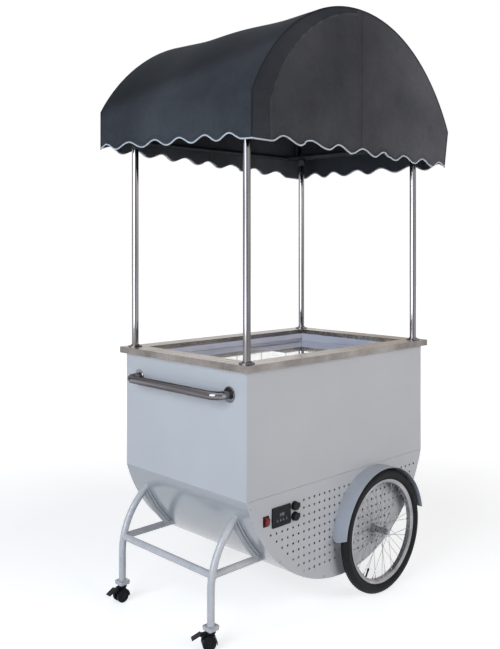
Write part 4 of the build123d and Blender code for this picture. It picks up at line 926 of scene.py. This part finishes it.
def treadMesh(centre, radius):
    parts = []
    steps = cycle["blocks"] * 3
    middle = radius - cycle["tyreSection"]
    for at in cycle["ribOffsets"]:
        for way in (-1, 1):
            o = at * way
            half = cycle["ribHalf"]
            foot = [middle + math.sqrt(cycle["tyreSection"] ** 2 - rib**2) - 0.0004
                    for rib in (o - half, o + half)]
            top = [min(radius - 0.00005, f + cycle["ribHeight"]) for f in foot]
            edge = half * 0.8
            profile = [(o - half, foot[0]), (o - edge, top[0]), (o + edge, top[1]), (o + half, foot[1])]
            phase = 1 if at == cycle["ribOffsets"][1] else 0

            def blocky(j, step, r, f=min(foot), p=phase):
                return r if j in (0, 3) or (step + p) % 3 else min(r, f + 0.0002)

            parts.append(lathe(profile, centre, (0, 1, 0), steps, blocky))
    for way in (-1, 1):
        for up in (-cycle["sidewallAt"], cycle["sidewallAt"] * 0.6):
            out = way * math.sqrt(cycle["tyreSection"] ** 2 - up**2)
            ring = ringPath(centre + Vector((0, out, 0)), middle + up, 120)
            parts.append(tubeMesh(ring, 0.0005, 6, closed=True))
    return joined(parts)


def nippleMesh(centre, way):
    parts = []
    perSide = cycle["spokes"] // 2
    sizes = (0.0024, 0.0021, 0.0019, 0.0019, 0.0012)

    def spokeEnd(reach, turn, out):
        return Vector((reach * math.cos(turn), way * out, reach * math.sin(turn)))

    for edge in (-1, 1):
        for index in range(perSide):
            lean = 1 if index % 2 == 0 else -1
            hubTurn = math.radians((index + 0.25 * (edge + 1)) * 360 / perSide)
            rimTurn = hubTurn + math.radians(lean * cycle["crossed"] * 360 / perSide)
            lace = edge * (cycle["flangeSpread"] + lean * cycle["laceStep"])
            end = spokeEnd(cycle["rimReach"], rimTurn, edge * cycle["rimOffset"])
            along = (end - spokeEnd(cycle["flangeReach"], hubTurn, lace)).normalized()
            path = [centre + end - along * cycle["nippleLength"] * t for t in (0.0, 0.15, 0.6, 0.9, 1.0)]
            parts.append(tubeMesh(path, lambda i: sizes[i], 8))
    return joined(parts)


def knurled(j, step, radius):
    return radius + (0.00018 if step % 2 and j in (2, 3) else 0)


for side, way in bothSides:
    centre, radius = wheelCentre(side)
    body = "wheel_" + side
    addPiece("tyreTread_" + side, *treadMesh(centre, radius), surfaces["tyreRubber"], body)
    addPiece("spokeNipples_" + side, *nippleMesh(centre, way), surfaces["chrome"], body)
    dust = joined([lathe([(d * e, r) for d, r in cycle["dustRing"]], centre, (0, 1, 0), 40) for e in (-1, 1)])
    addPiece("hubDustRings_" + side, *dust, surfaces["chrome"], body)
    along = Vector((math.cos(cycle["valveTurn"]), 0, math.sin(cycle["valveTurn"])))
    cap = lathe(cycle["valveCap"], centre + along * cycle["valveEnd"], along, 32, knurled)
    addPiece("valveCap_" + side, *cap, surfaces["blackPlastic"], body)
    threads = []
    for k in range(cycle["threads"]):
        y = way * (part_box("axle")[1].y - 0.0004 - cycle["threadPitch"] * k)
        ring = ringPath(Vector((centre.x, y, centre.z)), cycle["threadReach"], 32)
        threads.append(tubeMesh(ring, 0.00032, 6, closed=True))
    addPiece("axleThreads_" + side, *joined(threads), surfaces["zinc"], "cart")
print("wheel details made")

# a rolled bead along the outer edge of each mudguard
guardEdge = {"radius": 0.0013, "from": math.radians(10.5), "to": math.radians(173.5), "reach": 0.2600}
for side, way in bothSides:
    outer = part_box("mudguard_" + side)[1 if way > 0 else 0].y
    centre = wheelCentre(side)[0]
    path = []
    for k in range(121):
        turn = guardEdge["from"] + (guardEdge["to"] - guardEdge["from"]) * k / 120
        path.append(Vector((centre.x + guardEdge["reach"] * math.cos(turn), outer - way * 0.0006,
                            centre.z + guardEdge["reach"] * math.sin(turn))))
    bead = tubeMesh(path, lambda i: guardEdge["radius"] * min(1.0, 0.3 + min(i, 120 - i) / 4), 10)
    addPiece("guardBead_" + side, *bead, surfaces["guardPaint"], "cart")

# caster wheels: raised rings on both outer faces, and short ribs between them
casterFace = {"out": 0.02068, "rings": ((0.0205, 0.0006), (0.0150, 0.0007), (0.0105, 0.0005)), "ribs": 8,
              "ribReach": (0.0155, 0.0180, 0.0200), "ribRadius": 0.0005,
              "turn": {"right": math.radians(-32), "left": 0.0}}
for side in ("right", "left"):
    low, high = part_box("caster_wheels_" + side)
    turn = casterFace["turn"][side]
    flat = Vector((math.cos(turn), math.sin(turn), 0))
    parts = []
    for way in (-1, 1):
        face = (low + high) / 2 + Vector((-math.sin(turn), math.cos(turn), 0)) * way * casterFace["out"]
        for reach, thick in casterFace["rings"]:
            parts.append(tubeMesh(ringPath(face, reach, 64, flat), thick, 8, closed=True))
        for spoke in ringPath(Vector((0, 0, 0)), 1, casterFace["ribs"], flat):
            parts.append(tubeMesh([face + spoke * reach for reach in casterFace["ribReach"]],
                                  casterFace["ribRadius"], 6))
    addPiece("casterRings_" + side, *joined(parts), surfaces["casterTread"], "caster_" + side)
print("guard beads and caster rings made")


def flatBar(start, end, width, depth, outward):
    # a thin bar that lies on a surface, from start to end
    start, end, outward = Vector(start), Vector(end), Vector(outward).normalized()
    along = (end - start).normalized()
    across = along.cross(outward).normalized() * width / 2
    verts = [p + a * across + d * outward * depth for p in (start, end) for a in (-1, 1) for d in (0, 1)]
    return verts, boxFaces


# crossed recesses in the heads of the panel screws, drawn as thin dark bars on the heads: painted shade in
# place of the hollow
recess = {"length": 0.0042, "width": 0.0009, "head": 0.0024,
          "places": ((-0.523, 0.488), (-0.371, 0.262), (-0.122, 0.138), (0.122, 0.138), (0.371, 0.262),
                     (0.523, 0.488))}
recessShadeBars = []
for way in (-1, 1):
    face = way * (abs(panelY) + recess["head"] - 0.0002)
    for index, (x, z) in enumerate(recess["places"]):
        for quarter in (0, 1):
            turn = 0.4 + 1.1 * index + way * 0.3 + quarter * math.pi / 2
            reach = Vector((math.cos(turn), 0, math.sin(turn))) * recess["length"] / 2
            middle = Vector((middleX + x, face, z))
            recessShadeBars.append(flatBar(middle - reach, middle + reach, recess["width"], 0.00025, (0, way, 0)))
addPiece("screwRecessShades", *joined(recessShadeBars), surfaces["recessShade"], "cart", smooth=False)

# controller: a smoked pane over the display, lit segments, and a small mark over each button
panel = {"window": (-0.363, 0.437), "windowSize": (0.0254, 0.0134), "sunk": 0.0008, "paneEdge": 0.0002,
         "reading": "-18", "digit": (0.0046, 0.0084), "pitch": 0.0072, "stroke": 0.00085, "marksAt": 0.4245,
         "buttons": (-0.388, -0.372, -0.356, -0.340), "mark": 0.0013}
segments = {"-": "g", "1": "bc", "8": "abcdefg"}


def segmentBars(letter, x, z, y):
    w, h = panel["digit"][0] / 2, panel["digit"][1] / 2
    gap = 0.0005
    across, up, down = (-w + gap, w - gap), (gap, h - gap), (-h + gap, -gap)
    ends = {bar: ((across[0], level), (across[1], level)) for bar, level in (("a", h), ("g", 0), ("d", -h))}
    ends.update({bar: ((out, reach[0]), (out, reach[1]))
                 for bar, out, reach in (("f", -w, up), ("b", w, up), ("e", -w, down), ("c", w, down))})
    bars = []
    for a, b in (ends[bar] for bar in segments[letter]):
        start, end = (x + a[0], y, z + a[1]), (x + b[0], y, z + b[1])
        bars.append(flatBar(start, end, panel["stroke"], 0.0002, (0, -1, 0)))
    return bars


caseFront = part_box("controller_case")[0].y
paneX, paneZ = middleX + panel["window"][0], panel["window"][1]
paneHalfX, paneHalfZ = (v / 2 for v in panel["windowSize"])
paneBack = caseFront + panel["sunk"]
paneVerts = [Vector((x, y, z)) for x in (paneX - paneHalfX, paneX + paneHalfX)
             for y in (paneBack - 0.0006, paneBack - 0.0001) for z in (paneZ - paneHalfZ, paneZ + paneHalfZ)]
pane = addPiece("displayPane", paneVerts, boxFaces, surfaces["smokedPane"], "cart", smooth=False)
bevel = pane.modifiers.new("softEdges", "BEVEL")
bevel.width = panel["paneEdge"]
bevel.segments = 2
bevel.limit_method = "ANGLE"
bevel.angle_limit = math.radians(40)


def markBar(a, b, width=0.0005):
    # a stroke on the case's front, between two (x, z) places
    return flatBar((a[0], caseFront, a[1]), (b[0], caseFront, b[1]), width, 0.0001, (0, -1, 0))


lit = []
for index, letter in enumerate(panel["reading"]):
    lit += segmentBars(letter, paneX + (index - 1) * panel["pitch"], paneZ, paneBack - 0.0006)
for index, at in enumerate(panel["buttons"]):
    x, z, s = middleX + at, panel["marksAt"], panel["mark"]
    if index in (1, 2):
        tip = s / 2 if index == 1 else -s / 2
        lit += [markBar((x - s, z - tip), (x, z + tip)), markBar((x + s, z - tip), (x, z + tip))]
    elif index == 0:
        lit.append(markBar((x - s, z), (x + s, z)))
    else:
        ring = [(x + s * math.cos(k * math.pi / 6), z + s * math.sin(k * math.pi / 6)) for k in range(13)]
        lit += [markBar(a, b, 0.0004) for a, b in zip(ring[:-1], ring[1:])]
addPiece("displayMarks", *joined(lit), surfaces["paleMark"], "cart", smooth=False)
print("controls dressed")

# collars that clamp the poles to the canopy frame
collar = {"radius": 0.0172, "height": 0.034, "top": 0.0005, "poleRadius": 0.014}
poleLow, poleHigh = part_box("canopy_poles")
r, h, bore = collar["radius"], collar["height"], collar["poleRadius"]
collarSection = [(0, bore), (0, r), (-0.002, r + 0.0008), (-h / 2, r + 0.0008), (-h / 2 - 0.001, r - 0.0004),
                 (-h + 0.002, r), (-h, r - 0.001), (-h, bore)]
for index, (sx, sy) in enumerate(((-1, -1), (-1, 1), (1, -1), (1, 1))):
    x = middleX + sx * ((poleHigh.x - poleLow.x) / 2 - bore)
    top = (x, sy * (poleHigh.y - bore), poleHigh.z - collar["top"])
    ring = lathe(collarSection, top, (0, 0, 1), 40)
    addPiece("poleCollar%d" % (index + 1), *ring, surfaces["railSteel"], "cart")
print("pole collars made")

# camera at the photograph's place: level, with the frame shifted down
view = {
    "from": (-2.5136, -2.4065, 1.4371),     # from the cart's middle, on the floor
    "heading": math.radians(45.80),         # of the line of sight, from +X towards +Y
    "focalPixels": 805.41,
    "imageHeight": 649,
    "horizonRow": 242.3,
}
cameraData = bpy.data.cameras.new("photoCamera")
cameraData.sensor_width = 36
cameraData.lens = view["focalPixels"] * cameraData.sensor_width / view["imageHeight"]
cameraData.shift_y = -(view["imageHeight"] / 2 - view["horizonRow"]) / view["imageHeight"]
camera = bpy.data.objects.new("photoCamera", cameraData)
camera.location = (view["from"][0] + middleX, view["from"][1], view["from"][2])
camera.rotation_euler = (math.radians(90), 0, view["heading"] - math.radians(90))
bpy.context.scene.collection.objects.link(camera)
bpy.context.scene.camera = camera

# floor: white where nothing stands on it, and it keeps the cart's shadow
studio = {
    "floorSize": 40.0,
    "floorColour": (0.57, 0.57, 0.575),
    "nearGlow": 0.655,       # beside the cart, where the lamps reach the floor
    "farGlow": 1.0,
    "glowFrom": 1.4,        # metres from the cart
    "glowTo": 4.2,
}


def brightRays(owner):
    # 1 for the camera's rays and those in glass and in reflections, which all meet a white studio
    paths = addNode(owner, "LightPath").outputs
    seen = calculate(owner, "MAXIMUM", paths["Is Camera Ray"], paths["Is Transmission Ray"])
    return calculate(owner, "MAXIMUM", seen, paths["Is Glossy Ray"])


def floorMaterial():
    material, shader = startMaterial("studioFloor")
    base = studio["floorColour"]
    feed(material, shader, {
        "Base Color": twoTones(material, clouds(material, 1.2, 3.0), [0.985 * c for c in base], base),
        "Roughness": 0.9,
        "Specular IOR Level": 0.1,
    })
    distance = addNode(material, "VectorMath", {0: objectPlace(material)}, operation="LENGTH")
    rise = ramped(material, distance.outputs["Value"], studio["glowFrom"], studio["glowTo"],
                  **{"To Min": studio["nearGlow"], "To Max": studio["farGlow"]})
    strength = calculate(material, "MULTIPLY", brightRays(material), rise)
    glow = addNode(material, "Emission", {"Strength": strength})
    both = addNode(material, "AddShader", {0: shader.outputs[0], 1: glow.outputs[0]})
    feed(material, material.node_tree.nodes["Material Output"], {"Surface": both.outputs[0]})
    return material


def addStagePiece(name, verts, faces, material, onlyReflected=True):
    mesh = bpy.data.meshes.new(name)
    mesh.from_pydata(verts, [], faces)
    mesh.materials.append(material)
    piece = bpy.data.objects.new(name, mesh)
    bpy.context.scene.collection.objects.link(piece)
    for ray in ("camera", "diffuse", "transmission", "shadow") if onlyReflected else ():
        setattr(piece, "visible_" + ray, False)
    return piece


half = studio["floorSize"] / 2
floorCorners = [(-half, -half, 0), (half, -half, 0), (half, half, 0), (-half, half, 0)]
floor = addStagePiece("studioFloor", floorCorners, [(0, 1, 2, 3)], floorMaterial(), onlyReflected=False)
floor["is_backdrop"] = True

# world: a little soft light on the cart, and a white background for the camera, metal and glass
room = {"ambient": (0.86, 0.90, 0.97), "ambientStrength": 0.21, "zenithStrength": 0.03}


def buildWorld():
    world = bpy.data.worlds.new("studioRoom")
    world.use_nodes = True
    bpy.context.scene.world = world
    # the room's walls light the cart more than its ceiling does
    parts = addNode(world, "SeparateXYZ", {0: addNode(world, "TexCoord").outputs["Generated"]})
    walls = [c * room["ambientStrength"] for c in room["ambient"]]
    ceiling = [c * room["zenithStrength"] for c in room["ambient"]]
    fall = twoTones(world, parts.outputs["Z"], walls, ceiling, 0.15, 0.85)
    choice = addNode(world, "MixRGB", {"Fac": brightRays(world), "Color1": fall, "Color2": (1, 1, 1, 1)})
    feed(world, world.node_tree.nodes["Background"], {"Color": choice.outputs["Color"], "Strength": 1.0})


buildWorld()

lamps = {
    "windowSide": {"at": (-4.2, -0.6, 2.1), "size": 3.0, "power": 168, "colour": (0.80, 0.90, 1.0)},
    "roomSide": {"at": (0.6, -4.4, 2.2), "size": 3.0, "power": 122, "colour": (1.0, 0.975, 0.96),
                 "mirrored": False},
    "overhead": {"at": (0.2, 0.3, 5.2), "size": 4.0, "power": 10, "colour": (1.0, 1.0, 1.0)},
    "behind": {"at": (3.4, 3.6, 2.6), "size": 3.0, "power": 55, "colour": (0.95, 0.97, 1.0),
               "mirrored": False},
}
for name, lamp in lamps.items():
    lampData = bpy.data.lights.new(name, "AREA")
    lampData.energy = lamp["power"]
    lampData.size = lamp["size"]
    lampData.color = lamp["colour"]
    source = bpy.data.objects.new(name, lampData)
    source.location = lamp["at"]
    towards = Vector((middleX, 0, 1.0)) - Vector(lamp["at"])
    source.rotation_euler = towards.to_track_quat("-Z", "Y").to_euler()
    source.visible_glossy = lamp.get("mirrored", True)
    bpy.context.scene.collection.objects.link(source)

# dark flags round the studio, seen only in reflections, give polished tube its dark lines
flags = {"radius": 6.5, "low": 0.0, "high": 4.5, "turns": [(118, 12), (163, 8), (212, 9),
                                                          (238, 5), (251, 9), (296, 10), (338, 7)]}
flagMaterial, flagShader = startMaterial("flagCloth")
flagCloud = clouds(flagMaterial, 3.0, 3.0)
feed(flagMaterial, flagShader, {
    "Base Color": twoTones(flagMaterial, flagCloud, (0.010, 0.011, 0.013), (0.03, 0.03, 0.034)),
    "Roughness": 0.9,
})


def upright(radius, degrees, low, high):
    # the two ends of an upright line at this place round the studio
    angle = math.radians(degrees)
    return [(radius * math.cos(angle), radius * math.sin(angle), z) for z in (low, high)]


flagVerts = []
for turn, width in flags["turns"]:
    for edge in (-0.5, 0.5):
        flagVerts += upright(flags["radius"], turn + edge * width, flags["low"], flags["high"])
flagFaces = [(first, first + 1, first + 3, first + 2) for first in range(0, len(flagVerts), 4)]
flagCards = addStagePiece("studioFlags", flagVerts, flagFaces, flagMaterial)
flagCards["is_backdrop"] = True

# a mottled wall behind the cart, seen only in reflections: pale to the left, browner to the right
wall = {"radius": 6.4, "from": 8, "to": 104, "top": 3.4, "steps": 24, "pale": (1.0, 0.97, 0.95),
        "brown": (0.60, 0.52, 0.45), "window": (0.30, 0.64), "frame": (0.42, 0.40, 0.40)}


def wallMaterial():
    material, shader = startMaterial("studioWall")
    place = addNode(material, "TexCoord").outputs["UV"]
    along = addNode(material, "SeparateXYZ", {0: place}).outputs["X"]
    mottled = calculate(material, "MULTIPLY_ADD", clouds(material, 2.6, 5.0, 0.6), 0.75, along)
    plaster = twoTones(material, mottled, wall["brown"], wall["pale"], 0.50, 1.10)
    # a window in it: white panes between thin bars, with soft sides
    panes = addNode(material, "TexBrick", {
        "Vector": place, "Scale": 18.0, "Mortar Size": 0.014, "Mortar Smooth": 0.6, "Brick Width": 0.5,
        "Row Height": 1.4, "Color1": (1, 1, 1, 1), "Color2": (1, 1, 1, 1), "Mortar": (*wall["frame"], 1),
    }, offset=0.0)
    sides = [ramped(material, along, edge - 0.015 * way, edge + 0.015 * way)
             for edge, way in zip(wall["window"], (1, -1))]
    whole = addNode(material, "MixRGB", {"Fac": calculate(material, "MULTIPLY", *sides), "Color1": plaster,
                                         "Color2": panes.outputs["Color"]})
    feed(material, shader, {
        "Base Color": (0, 0, 0, 1),
        "Roughness": 0.9,
        "Emission Color": whole.outputs["Color"],
        "Emission Strength": 1.0,
    })
    return material


wallVerts = []
for step in range(wall["steps"] + 1):
    degrees = wall["from"] + (wall["to"] - wall["from"]) * step / wall["steps"]
    wallVerts += upright(wall["radius"], degrees, 0.0, wall["top"])
wallFaces = [(2 * step, 2 * step + 2, 2 * step + 3, 2 * step + 1) for step in range(wall["steps"])]
wallCard = addStagePiece("studioWall", wallVerts, wallFaces, wallMaterial())
wallPlace = wallCard.data.uv_layers.new(name="along")
for loop in wallCard.data.loops:
    wallPlace.data[loop.index].uv = (loop.vertex_index // 2 / wall["steps"], loop.vertex_index % 2)
wallCard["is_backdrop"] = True

bpy.context.scene.view_settings.view_transform = "Standard"
print("studio set")

low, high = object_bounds()
print("visual box", [round(v, 4) for v in (*low, *high)])
